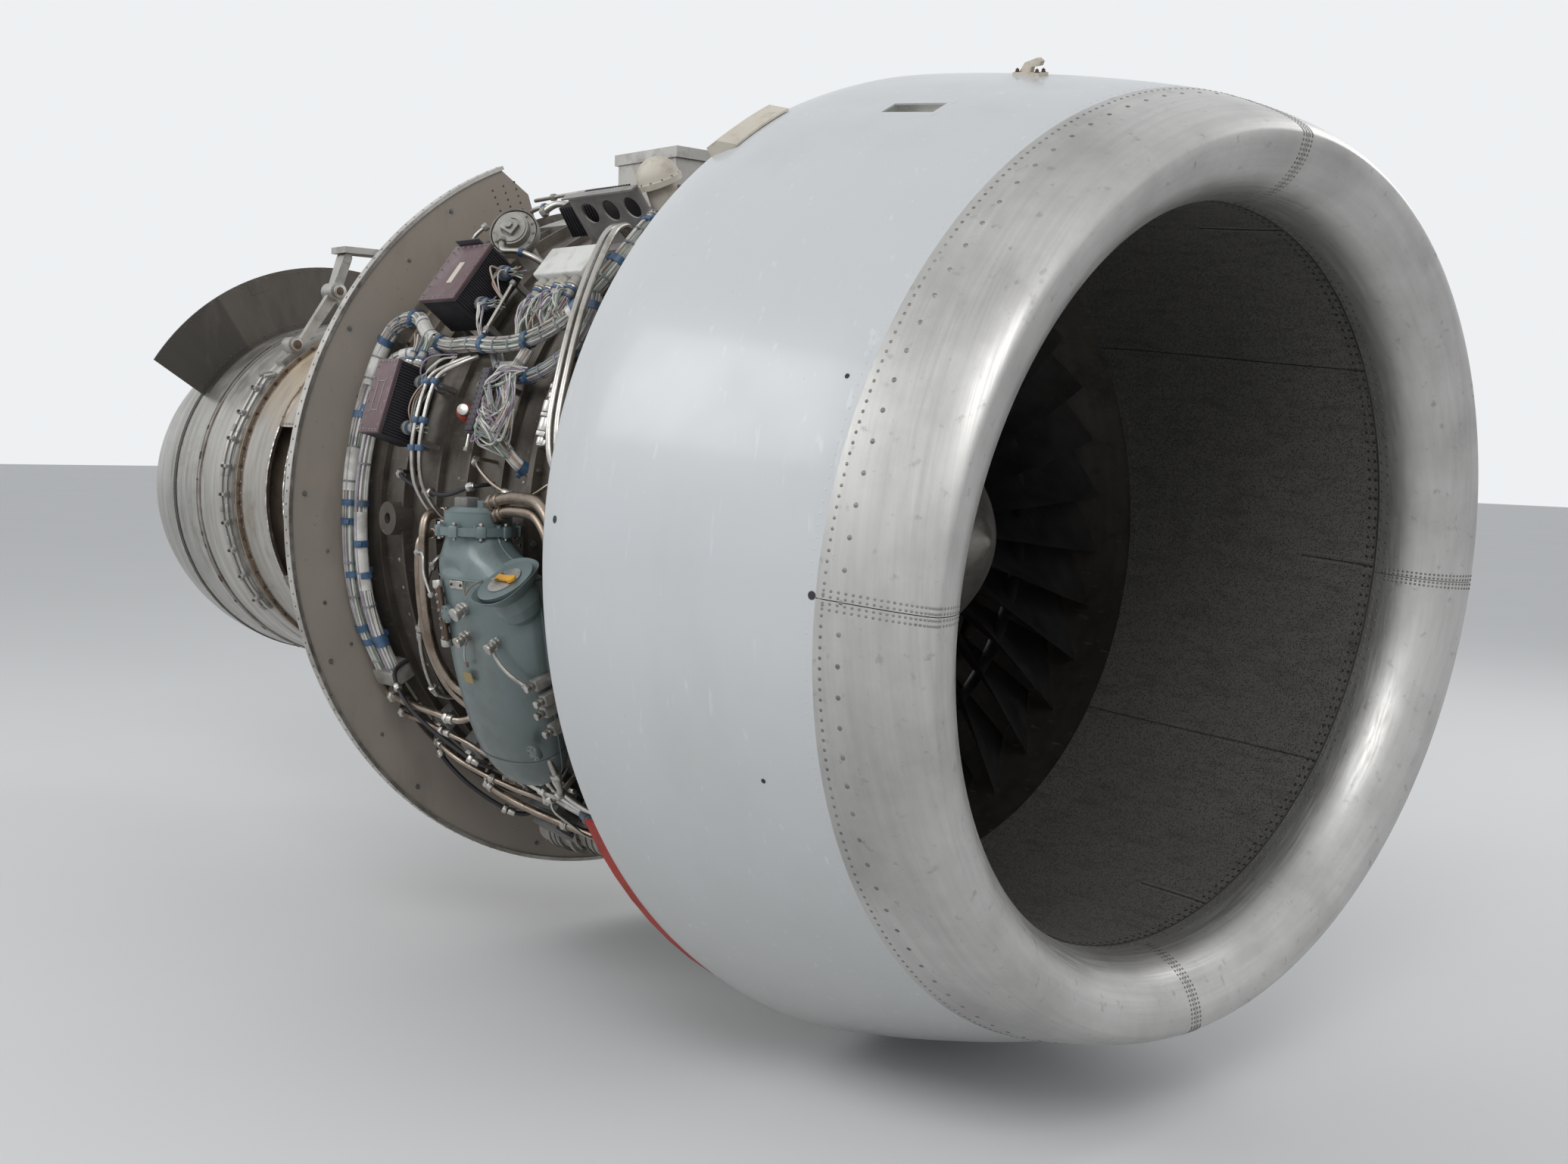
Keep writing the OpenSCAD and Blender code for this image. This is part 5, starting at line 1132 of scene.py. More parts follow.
def bundle(bm, line, r, count, seed, ties, wire=0.0032):
    """Core with wires laid round it that wander and cross slightly, and ties every so often."""
    rng = random.Random(seed)
    frames = side_vectors(line)
    length = sum((line[i + 1] - line[i]).length for i in range(len(line) - 1))
    tube(bm, line, r * 0.74, 10, 3)
    for k in range(count):
        phase = 2 * math.pi * k / count + rng.uniform(-0.15, 0.15)
        twist = rng.uniform(0.5, 1.6) * length
        lift = rng.uniform(-0.0012, 0.0014)
        thick = wire * rng.uniform(0.8, 1.2)
        shift = rng.uniform(0, 100)
        path = []
        for i, p in enumerate(line):
            u = i / (len(line) - 1)
            a = phase + twist * u + 0.55 * noise.noise(Vector((u * length * 3.0, shift, 0)))
            d = r - thick + lift + 0.0016 * noise.noise(Vector((u * length * 6.0, 0, shift)))
            path.append(p + d * (math.cos(a) * frames[i][1] + math.sin(a) * frames[i][2]))
        tube(bm, path, thick, 6, rng.choice((0, 0, 0, 1, 2, 3, 3, 4)))
    for k in range(ties):
        i = int((k + 0.5) / ties * (len(line) - 1))
        place = Matrix(frames[i]).transposed().to_4x4()
        place.translation = line[i]
        clamped = k % 3 == 1
        wide, proud, kind = (0.010, 0.0035, 5) if clamped else (0.003, 0.0015, 6)
        turned(bm, band(-wide, wide, r - 0.003, r + proud), place, 20, slot=kind)
        if clamped:
            block(bm, (0.014, 0.016, 0.012), place @ turn("X", 40 * k) @ move(0, 0, r + 0.007), 0.002, 2, 5)


# Name, route, radius, wires, ties, seed and sleeved stretches
HARNESSES = (("rear_harness", REAR_BUNDLE, 0.0215, 24, 34, 3,
              ((0.15, 0.19), (0.245, 0.30), (0.42, 0.47), (0.74, 0.78))),
             ("front_harness", FRONT_BUNDLE, 0.0190, 20, 30, 5, ((0.10, 0.17), (0.30, 0.34), (0.40, 0.45))),
             ("strip_harness", STRIP_BUNDLE, 0.0160, 17, 5, 8, ()))


def build_harness():
    """The three bundles, with plain sleeves over some stretches of them."""
    for name, points, r, count, ties, seed, sleeved in HARNESSES:
        bm = bmesh.new()
        line = route(points, 7)
        last = len(line) - 1
        bundle(bm, line, r, count, seed, ties)
        for start, end in sleeved:
            tube(bm, line[int(start * last):int(end * last) + 1], r + 0.0006, 16, 0)
        stands_for = ["harness"] if name == "rear_harness" else ()
        piece(name, bm, WIRES + [BLUE, TIE], stands_for=stands_for, sharp=60)


# Where each lot of wires starts and ends, and how many there are
LOOSE_WIRES = (((-0.56, 66, 1.03), (-0.66, 70, 1.06), 14), ((-0.62, 74, 1.07), (-0.55, 79, 1.02), 14),
               ((-0.59, 54.5, 1.08), (-0.62, 61, 1.06), 7), ((-0.545, 54.5, 1.08), (-0.56, 61, 1.06), 6),
               ((-0.495, 54.8, 1.08), (-0.50, 60.5, 1.06), 10), ((-0.44, 54.6, 1.08), (-0.44, 59.5, 1.06), 9),
               ((-0.83, 50, 1.08), (-0.77, 55, 1.07), 4), ((-0.83, 56, 1.08), (-0.80, 61, 1.06), 4),
               ((-0.96, 69, 1.075), (-0.90, 64, 1.05), 4), ((-0.96, 76, 1.075), (-0.93, 67, 1.05), 4))


def build_loose_wires():
    """Single wires that arch from one place to another."""
    rng = random.Random(21)
    bm = bmesh.new()
    for (x0, a0, r0), (x1, a1, r1), count in LOOSE_WIRES:
        for k in range(count):
            j = [rng.uniform(-0.012, 0.012) for _ in range(6)]
            a = on_engine(x0 + j[0] * 0.6, a0 + j[1] * 30, r0 + j[2] * 0.4)
            b = on_engine(x1 + j[3] * 0.6, a1 + j[4] * 30, r1 + j[5] * 0.4)
            out = (a + b) / 2 - AXIS
            out.x = 0
            out.normalize()
            rise = 0.03 * rng.uniform(0.4, 1.3)
            wander = Vector((rng.uniform(-0.03, 0.03), rng.uniform(-0.015, 0.015), rng.uniform(-0.03, 0.03)))
            mid = (a + b) / 2 + out * rise + wander
            line = catmull([a, a.lerp(mid, 0.45) + out * rise * 0.4, mid,
                            b.lerp(mid, 0.45) + out * rise * 0.3, b], 5)
            tube(bm, line, 0.0024 * rng.uniform(0.8, 1.25), 6, rng.choice((0, 0, 0, 1, 2, 3, 4)))
    piece("loose_wires", bm, WIRES, sharp=60)


# Stations, angles and radii along each of the large oil pipes, and its radius
PIPE_ROUTES = [([(-0.500, 88.2, 1.072), (-0.440, 87.2, 1.074), (-0.380, 87, 1.076), (-0.300, 87.4, 1.080),
                 (-0.235, 90, 1.086), (-0.212, 94, 1.088), (-0.215, 99, 1.086), (-0.212, 103, 1.076),
                 (-0.180, 106.5, 1.050), (-0.150, 109, 1.006), (-0.148, 110, 0.946)], 0.014),
               ([(-0.540, 86.6, 1.072), (-0.440, 85.4, 1.078), (-0.350, 85.2, 1.084), (-0.260, 85.8, 1.096),
                 (-0.190, 88.5, 1.104), (-0.168, 93, 1.104), (-0.168, 99, 1.100), (-0.160, 104, 1.084),
                 (-0.120, 108, 1.040), (-0.105, 110, 0.990), (-0.104, 110.5, 0.946)], 0.016),
               ([(-0.905, 88.8, 0.946), (-0.900, 88.5, 1.000), (-0.890, 89.5, 1.038), (-0.888, 94, 1.048),
                 (-0.905, 102, 1.050), (-0.925, 110, 1.048), (-0.905, 115.5, 1.040), (-0.860, 119, 1.020),
                 (-0.820, 123, 0.985), (-0.812, 124, 0.946)], 0.014),
               ([(-0.950, 92, 0.946), (-0.948, 92, 1.000), (-0.944, 94, 1.030), (-0.950, 102, 1.040),
                 (-0.965, 110, 1.040), (-0.950, 117, 1.034), (-0.900, 122, 1.015), (-0.862, 126, 0.980),
                 (-0.856, 127, 0.946)], 0.011)]


def collar(bm, line, u, r, wide=0.016, slot=0, sides=6):
    """Nut or band round a pipe at u along its line."""
    i = int(u * (len(line) - 1))
    place = Matrix(side_vectors(line)[i]).transposed().to_4x4()
    place.translation = line[i]
    post(bm, r, wide, place @ turn("Y", 90) @ move(0, 0, -wide / 2), sides, 0.0012, slot)


def fitted_line(bm, line, r, sides, slot, fittings):
    """Pipe with its nuts and bands, each given by place along it, how proud, width, slot and sides."""
    tube(bm, line, r, sides, slot)
    for u, proud, wide, kind, corners in fittings:
        collar(bm, line, u, r + proud, wide, kind, corners)


def build_pipes():
    """Large oil pipes; edge tubes, lines under the case and the two rear lines with their clips."""
    bm = bmesh.new()
    ends = [(0.05, 0.007, 0.020, 0, 6), (0.072, 0.004, 0.016, 0, 18),
            (0.93, 0.007, 0.020, 0, 6), (0.952, 0.004, 0.016, 0, 18)]
    for points, r in PIPE_ROUTES:
        fitted_line(bm, route(points, 7), r, 18, 0, ends)
    piece("oil_pipe_set", bm, [PIPE], stands_for=["oil_pipes"])
    bm = bmesh.new()
    for k in range(2):
        x = -0.034 * k
        line = route([(-0.380 + x, 43, 0.946), (-0.378 + x, 43.2, 1.070), (-0.366 + x, 44.4, 1.112),
                      (-0.330 + x, 48.5, 1.130), (-0.262 + x, 58, 1.132), (-0.205 + x, 68, 1.134),
                      (-0.172 + x, 77, 1.134), (-0.150 - 0.030 * k, 82, 1.100),
                      (-0.140 - 0.030 * k, 84, 0.946)], 7)
        tube(bm, line, 0.009, 14)
    for k in range(3):
        line = route([(-0.700 - 0.040 * k, 132, 0.946), (-0.690 - 0.040 * k, 132.5, 1.010),
                      (-0.660 - 0.050 * k, 136, 1.040), (-0.560 - 0.060 * k, 141, 1.046),
                      (-0.430 - 0.040 * k, 147 + 2 * k, 1.040), (-0.360 - 0.020 * k, 152 + 2 * k, 1.010),
                      (-0.350 - 0.020 * k, 153 + 2 * k, 0.946)], 7)
        fitted_line(bm, line, 0.009, 12, 0, ((0.12, 0.005, 0.018, 0, 6), (0.88, 0.005, 0.018, 0, 6)))
    for side in (-1, 1):
        for k in range(2):
            x, seat = -2.943 - 0.028 * k, 0.6606 + 0.007 * k
            line = route([(x, side * angle, seat + lift) for angle, lift in (
                (48, 0), (52, 0.012), (75, 0.014), (95, 0.014), (115, 0.014), (128, 0.012), (132, 0))], 8)
            fitted_line(bm, line, 0.007, 12, 1, [(0.10 + 0.10 * i, 0.0016, 0.030 if i % 3 else 0.052,
                                                  1 + (i + k) % 2, 12) for i in range(9)])
        for i in range(9):
            place = at(-2.957, side * (55 + 8.9 * i), 0.670)
            block(bm, (0.046, 0.012, 0.020), place @ move(0, 0, 0.012), 0.002, 2, 2)
            block(bm, (0.012, 0.024, 0.022), place @ move(0.014, 0, 0.004), 0.002, 2, 1)
            bolt(bm, place @ move(0, 0, 0.022), 0.005, 0.005, 3)
    piece("small_pipe_set", bm, [BRIGHT, NOZZLE, BRACKET, RUST], stands_for=["small_pipes"])


# Core and rear
def build_panel_rivets():
    """Rivets of the rear panel, with rows round its two windows."""
    bm = bmesh.new()
    for x, r, count in ((-2.676, 0.6505, 96), (-2.880, 0.6505, 96), (-2.500, 0.6415, 90)):
        for k in range(count):
            rivet(bm, at(x, 360 * k / count, r), 0.0042, 0.0014)
    for side in (-1, 1):
        for k in range(24):
            for x, r in ((-2.672, 0.6475), (-2.533, 0.6425)):
                rivet(bm, at(x, side * (67.5 + 49 * k / 23), r), 0.0042, 0.0014)
        for k in range(6):
            for a in (66.0, 118.0):
                rivet(bm, at(-2.54 - 0.024 * k, side * a, 0.6455), 0.0042, 0.0014)
    piece("panel_rivets", bm, [RIVET])


def build_pipe_bands():
    """Bands round the jet pipe, with browned tabs and rows of rivets."""
    bm = bmesh.new()
    turned(bm, band(-3.205, -3.185, 0.6725, 0.6785))
    turned(bm, band(-3.426, -3.404, 0.6715, 0.6752), slot=2)
    rng = random.Random(31)
    for k in range(34):
        angle = 360 * (k + rng.uniform(0.1, 0.9)) / 34
        block(bm, (0.010, rng.uniform(0.008, 0.030), 0.003), at(-3.198, angle, 0.6792), 0.001, 1, 1)
    for k in range(90):
        for x in (-3.440, -3.380):
            rivet(bm, at(x, 4 * k, 0.672), 0.004, 0.0012)
    piece("pipe_bands", bm, [NOZZLE, RUST, WEB])


def build_window_foil():
    """Torn foil along the edges of the rear panel's two windows."""
    bm = bmesh.new()
    for side in (-1, 1):
        for x, r, shift in ((-2.664, 0.6500, 0.0), (-2.538, 0.6440, 5.0)):
            line = []
            for k in range(121):
                wave = (0.006 * noise.noise(Vector((k * 0.09, shift, side)))
                        + 0.004 * noise.noise(Vector((k * 0.33, shift, 2))))
                line.append(on_engine(x + wave, side * (67 + 50 * k / 120), r + 0.002 + 0.6 * wave))
            tube(bm, line, 0.0042, 8)
    piece("window_edge_foil", bm, [BRIGHT])


def build_mount_and_web_details():
    """Pin heads of the rear mount, and rivets, plates and ribs of the dark web."""
    bm = bmesh.new()
    for side in (-1, 1):
        place = at(-2.917, side * 36, 0.696) @ turn("Y", 90)
        for r, h, sides, soft, slot in ((0.024, 0.005, 32, 0.001, 0), (0.017, 0.010, 28, 0.002, 1),
                                        (0.008, 0.013, 20, 0.002, 1)):
            post(bm, r, h, place, sides, soft, slot)
        place = at(-2.905, side * 17, 0.812) @ turn("Y", 90)
        post(bm, 0.026, 0.004, place @ move(0, 0, -0.002), 32, 0.001, 0)
        bolt(bm, place @ move(0, 0, 0.001), 0.011, 0.008, 1)
    piece("mount_pins", bm, [MOUNT, RUST])
    bm = bmesh.new()
    for k in range(48):
        for x, r in ((-3.3978, 0.896), (-3.3928, 0.690)):
            rivet(bm, at(x, -55 + 110 * k / 47, r) @ turn("Y", 90), 0.005, 0.0016)
    for side in (-1, 1):
        block(bm, (0.003, 0.086, 0.046), at(-3.3970, side * 22.5, 0.872), 0.001, 1)
    for k in range(9):
        block(bm, (0.020, 0.003, 0.190), at(-3.4145, -52 + 104 * k / 8, 0.795), 0.001, 1)
    piece("web_fittings", bm, [WEB])


def plug(bm, place, r, seed=0, wires=7):
    """Round multi-pin plug along a frame's Z with its rings, back shell and a tail of wires."""
    rng = random.Random(seed)
    for size, h, z, sides, soft, slot, top in ((1, 0.024, -0.016, 28, 0.001, 0, None),
                                               (1.18, 0.011, 0.004, 20, 0.0012, 0, None),
                                               (1.02, 0.006, 0.015, 28, 0.0008, 2, None),
                                               (1.1, 0.008, 0.021, 28, 0.001, 1, None),
                                               (0.92, 0.022, 0.029, 24, 0.002, 0, r * 0.72),
                                               (0.8, 0.006, 0.045, 24, 0.001, 1, None)):
        post(bm, r * size, h, place @ move(0, 0, z), sides, soft, slot, top)
    for k in range(wires):
        a = 2 * math.pi * k / wires
        x, y = r * 0.5 * math.cos(a), r * 0.5 * math.sin(a)
        tip = (x * 1.5 + rng.uniform(-0.008, 0.008), y * 1.5 + rng.uniform(-0.008, 0.008), 0.100)
        line = catmull([place @ Vector(p) for p in ((x, y, 0.046), (x, y, 0.068), tip)], 4)
        tube(bm, line, 0.0022, 6, 3 + rng.randrange(5))


def build_plugs():
    """Plugs in the boxes' sides and the block where the rear bundles end."""
    bm = bmesh.new()
    down, up, ahead = turn("X", 90), turn("X", -90), turn("Y", 90)
    for i, (x, r) in enumerate(((-0.590, 0.018), (-0.545, 0.015), (-0.495, 0.022), (-0.440, 0.018))):
        plug(bm, at(x, 53.4, 1.082) @ down, r, i)
    for a in (50, 56):
        plug(bm, at(-0.858, a, 1.080) @ ahead, 0.018, a)
    for x in (-1.072, -1.020):
        plug(bm, at(x, 66.7, 1.080) @ up, 0.016, int(-x * 100))
    for a in (69, 76):
        plug(bm, at(-0.990, a, 1.075) @ ahead, 0.017, a)
    block(bm, (0.112, 0.050, 0.088), at(-1.338, 118.5, 0.991), 0.006, 3, 0)
    piece("plug_set", bm, [CAST, BLUE, BRIGHT] + WIRES, stands_for=["connectors"])


SHORT_LINES = (((-0.300, 23.5, 1.000), (-0.500, 24.5, 1.040), (-0.900, 24.0, 1.066), (-1.300, 23.5, 1.060)),
               ((-0.955, 28.5, 1.060), (-1.000, 31.0, 1.075), (-1.100, 31.5, 1.072), (-1.250, 30.0, 1.030)),
               ((-1.060, 41.5, 1.130), (-1.090, 43.5, 1.120), (-1.130, 44.5, 1.080), (-1.150, 45.0, 1.000),
                (-1.152, 45.2, 0.948)),
               ((-1.000, 42.5, 1.090), (-0.960, 44.5, 1.080), (-0.900, 44.0, 1.060), (-0.860, 43.0, 1.000),
                (-0.858, 42.8, 0.948)),
               ((-0.980, 34.5, 1.080), (-0.930, 33.0, 1.090), (-0.880, 32.0, 1.060), (-0.860, 31.5, 0.990),
                (-0.860, 31.5, 0.948)))


def build_small_lines():
    """Small lines with their blue clamps beside the lower box, rods and short lines near the upper one."""
    bm = bmesh.new()
    for x in (-0.930, -0.890):
        line = route([(x + ahead, angle, r) for ahead, angle, r in (
            (0.070, 63.5, 1.030), (0.050, 65.5, 1.060), (0.010, 68, 1.085), (0, 71, 1.088), (0, 75, 1.086),
            (0, 79, 1.080), (0.005, 84, 1.060), (0.010, 88, 1.010), (0, 90, 0.950))], 5)
        fitted_line(bm, line, 0.0065, 10, 0, [(u, 0.0065, 0.016, 1, 16) for u in (0.30, 0.52, 0.64)])
    for a, b in (((-0.770, 52.0, 1.075), (-0.745, 61.5, 1.085)), ((-0.705, 55, 1.045), (-0.620, 63, 1.050)),
                 ((-0.800, 78.0, 0.990), (-0.810, 66.5, 1.000))):
        start, end = on_engine(*a), on_engine(*b)
        fitted_line(bm, catmull([start, start.lerp(end, 0.5), end], 4), 0.005, 8, 0,
                    ((0.1, 0.004, 0.012, 2, 6), (0.9, 0.004, 0.012, 2, 6)))
    for points, r in zip(SHORT_LINES, (0.006, 0.007, 0.006, 0.009, 0.010)):
        fitted_line(bm, route(points, 6), r, 10, 0, ((0.06, 0.006, 0.016, 2, 6), (0.5, 0.004, 0.012, 1, 14),
                                                     (0.94, 0.006, 0.016, 2, 6)))
    piece("small_line_set", bm, [BRIGHT, BLUE, CAST])


def build_sensor_and_strip():
    """Sensor union with its stays, the terminal strip on its two feet and a red plug beside it."""
    bm = bmesh.new()
    unit = at(-0.330, 73.5, SEAT_R)
    along = unit @ move(0, 0.084, 0.118) @ turn("X", 90)
    for z, r, h, sides in ((0.0, 0.012, 0.168, 20), (0.008, 0.018, 0.012, 6), (0.030, 0.015, 0.014, 20),
                           (0.052, 0.021, 0.030, 24), (0.084, 0.024, 0.010, 6), (0.096, 0.019, 0.034, 24),
                           (0.132, 0.023, 0.012, 6), (0.146, 0.014, 0.018, 20)):
        post(bm, r, h, along @ move(0, 0, z), sides, 0.0012, 0)
    for y in (-0.056, 0.048):
        block(bm, (0.012, 0.016, 0.110), unit @ move(0, y, 0.055), 0.002, 2, 1)
        block(bm, (0.050, 0.022, 0.003), unit @ move(0, y, 0.100), 0.001, 1, 1)
    for x, h in ((-0.02, 0.060), (0.018, 0.075)):
        post(bm, 0.008, h, unit @ move(x, -0.075, 0.05), 12, 0.001, 0)
    strip = at(-0.668, 71.5, SEAT_R)
    block(bm, (0.036, 0.176, 0.036), strip @ move(0, 0, 0.111), 0.003, 2, 2)
    for k in range(11):
        y = -0.072 + 0.0144 * k
        for side in (-1, 1):
            block(bm, (0.010, 0.011, 0.012), strip @ move(side * 0.022, y, 0.114), 0.001, 1, 3)
            post(bm, 0.0028, 0.0015, strip @ move(side * 0.010, y, 0.1285), 10, 0, 3)
    for size, x, y, z, soft, slot in (((0.048, 0.012, 0.020), 0, -0.086, 0.110, 0.002, 2),
                                      ((0.048, 0.012, 0.020), 0, 0.086, 0.110, 0.002, 2),
                                      ((0.016, 0.016, 0.096), 0, -0.060, 0.048, 0.002, 1),
                                      ((0.016, 0.016, 0.096), 0, 0.060, 0.048, 0.002, 1),
                                      ((0.070, 0.034, 0.030), 0.052, 0.098, 0.092, 0.006, 1)):
        block(bm, size, strip @ move(x, y, z), soft, 2, slot)
    red_plug = at(-0.772, 73.2, 1.028) @ turn("Y", 48)
    post(bm, 0.022, 0.056, red_plug, 20, 0.006, 4)
    post(bm, 0.016, 0.030, red_plug @ move(0, 0, 0.05), 20, 0.003, 0)
    post(bm, 0.012, 0.092, at(-0.772, 73.2, SEAT_R), 12, 0.001, 0)
    piece("sensor_and_strip", bm, [BRIGHT, BRACKET, DARK, FIN, RED],
          stands_for=["terminal_strip"])


def build_strip_loops():
    """Wires that leave the terminal strip and hang in tied loops beside it."""
    rng = random.Random(14)
    bm = bmesh.new()

    def near(place, *reaches):
        """Place moved by a random step within each of its three reaches."""
        steps = [rng.uniform(*reach) if reach else 0 for reach in reaches]
        return on_engine(*(value + step for value, step in zip(place, steps)))

    for k in range(46):
        angle = 68.0 + 8.0 * k / 46
        start = near((-0.646, angle, 1.060), (-0.003, 0.003), None, (-0.006, 0.006))
        end = near((-0.585, 68.5, 1.050), (-0.02, 0.02), (-1.6, 1.6), (-0.012, 0.016))
        low = near((-0.560, 75.5, 1.055), (-0.035, 0.035), (-2.2, 2.6), (-0.02, 0.022))
        mid = near((-0.622, angle, 1.072), (-0.012, 0.012), (0.5, 2.5), (-0.01, 0.016))
        line = catmull([start, mid, low, end.lerp(low, 0.45) + Vector((0.02, 0, 0)), end], 6)
        tube(bm, line, rng.uniform(0.0018, 0.0028), 6, rng.choice((0, 0, 0, 0, 2, 3, 4, 1)))
    for k in range(30):
        x, angle = -0.575 + rng.uniform(-0.018, 0.018), 75.4 + rng.uniform(-1.2, 1.2)
        wide, tall = rng.uniform(0.020, 0.038), rng.uniform(0.034, 0.068)
        r = 1.050 + rng.uniform(-0.016, 0.020)
        line = []
        for i in range(13):
            q = math.radians(-100 + 200 * i / 12 + rng.uniform(-4, 4))
            rise = math.degrees(tall * (math.cos(q) - 0.6)) / 1.06
            line.append(on_engine(x + wide * math.sin(q), angle + rise, r + 0.006 * math.sin(2 * q)))
        tube(bm, catmull(line, 2), rng.uniform(0.0018, 0.0027), 6, rng.choice((0, 0, 0, 2, 4, 3, 1)))
    piece("strip_wire_loops", bm, WIRES, sharp=60)


def build_valve_details():
    """Bolted dish rim, hexagon and square port of the round pressure valve, and its side port's ring."""
    seat = at(-1.047, 38.5, CASE_R - 0.003)
    valve = seat @ move(0, 0, 0.116) @ turn("Y", 38) @ turn("X", 22)
    bm = bmesh.new()
    ring = [(-0.020, 0.067), (-0.020, 0.071), (0.010, 0.074), (0.013, 0.073), (0.011, 0.070),
            (-0.008, 0.0665)]
    turned(bm, ring, valve @ turn("Y", -90), 56)
    for k in range(12):
        bolt(bm, valve @ turn("Z", 30 * k) @ move(0.059, 0, 0.008), 0.0046, 0.004, 1)
    turned(bm, [(0.0355, 0.030), (0.0355, 0.046), (0.040, 0.044), (0.040, 0.030)], valve @ turn("Y", -90), 40)
    post(bm, 0.013, 0.014, valve @ move(0, 0, 0.053), 6, 0.001, 1)
    block(bm, (0.044, 0.040, 0.006), valve @ move(0, 0, 0.052), 0.002, 2, 0)
    port = seat @ move(-0.084, 0, 0.084) @ turn("Y", 90)
    for k in range(8):
        bolt(bm, port @ turn("Z", 45 * k) @ move(0.033, 0, 0) @ turn("X", 180), 0.0036, 0.003, 1)
    piece("valve_fittings", bm, [CAST, BRACKET])


def build_tank_gauge():
    """Gauge tube, drain fittings, small lines and clips on the tank's face."""
    bm = bmesh.new()
    gauge = [tank_point(0.325 + 0.135 * k / 12, 0.352, 0.012) for k in range(13)]
    fitted_line(bm, gauge, 0.0095, 10, 2, [(u, 0.003, 0.012, 2, 8) for u in (0.02, 0.25, 0.5, 0.75, 0.98)]
                + [(u, 0.0055, 0.020, 0, 12) for u in (0.0, 1.0)])
    tube(bm, [tank_point(0.330 + 0.125 * k / 12, 0.334, 0.015) for k in range(13)], 0.0045, 8, 2)
    for k in range(7):
        head = Matrix.Translation(tank_point(0.335 + 0.019 * k, 0.343, 0.021)) @ turn("X", 98)
        bolt(bm, head, 0.0032, 0.003, 0)
    for x, a, r, size in ((-0.518, 99.6, 1.152, 0.016), (-0.528, 103.2, 1.152, 0.013),
                          (-0.405, 103.6, 1.140, 0.013)):
        place = at(x, a, r) @ turn("X", 20)
        for z, f in ((0.0, 1.0), (0.012, 1.25), (0.024, 0.9), (0.034, 1.15)):
            post(bm, size * f, 0.011, place @ move(0, 0, z), 6 if f > 1.2 else 20, 0.001, 0)
    for r, points in ((0.004, [(-0.745, 93.4, 1.150), (-0.700, 93.5, 1.160), (-0.690, 96, 1.166),
                               (-0.672, 99.0, 1.160)]),
                      (0.0045, [(-0.405, 103.8, 1.166), (-0.392, 105.6, 1.168), (-0.365, 107.6, 1.160),
                                (-0.330, 109.6, 1.140)]),
                      (0.0025, [(-0.528, 104.2, 1.170), (-0.540, 106, 1.172), (-0.546, 107.4, 1.170)])):
        fitted_line(bm, route(points, 6), r, 8, 0, [(u, 0.005, 0.012, 1, 6) for u in (0.04, 0.96)])
    block(bm, (0.040, 0.030, 0.003), at(-0.560, 109.2, 1.1655) @ turn("X", 4), 0.001, 1, 3)
    for x, a in ((-0.318, 109.6), (-0.296, 111.6), (-0.312, 113.4), (-0.306, 116.0)):
        place = at(x, a, 1.068)
        block(bm, (0.030, 0.030, 0.060), place @ move(0, 0, 0.03), 0.004, 2, 1)
        for z in (0.062, 0.074):
            post(bm, 0.011, 0.010, place @ move(0, 0, z), 6, 0.001, 0)
        post(bm, 0.008, 0.05, place @ turn("Y", 70) @ move(0, 0, 0.010), 12, 0.001, 0)
    piece("tank_gauge_and_fittings", bm, [BRIGHT, BRACKET, RUST, YELLOW_TAG])


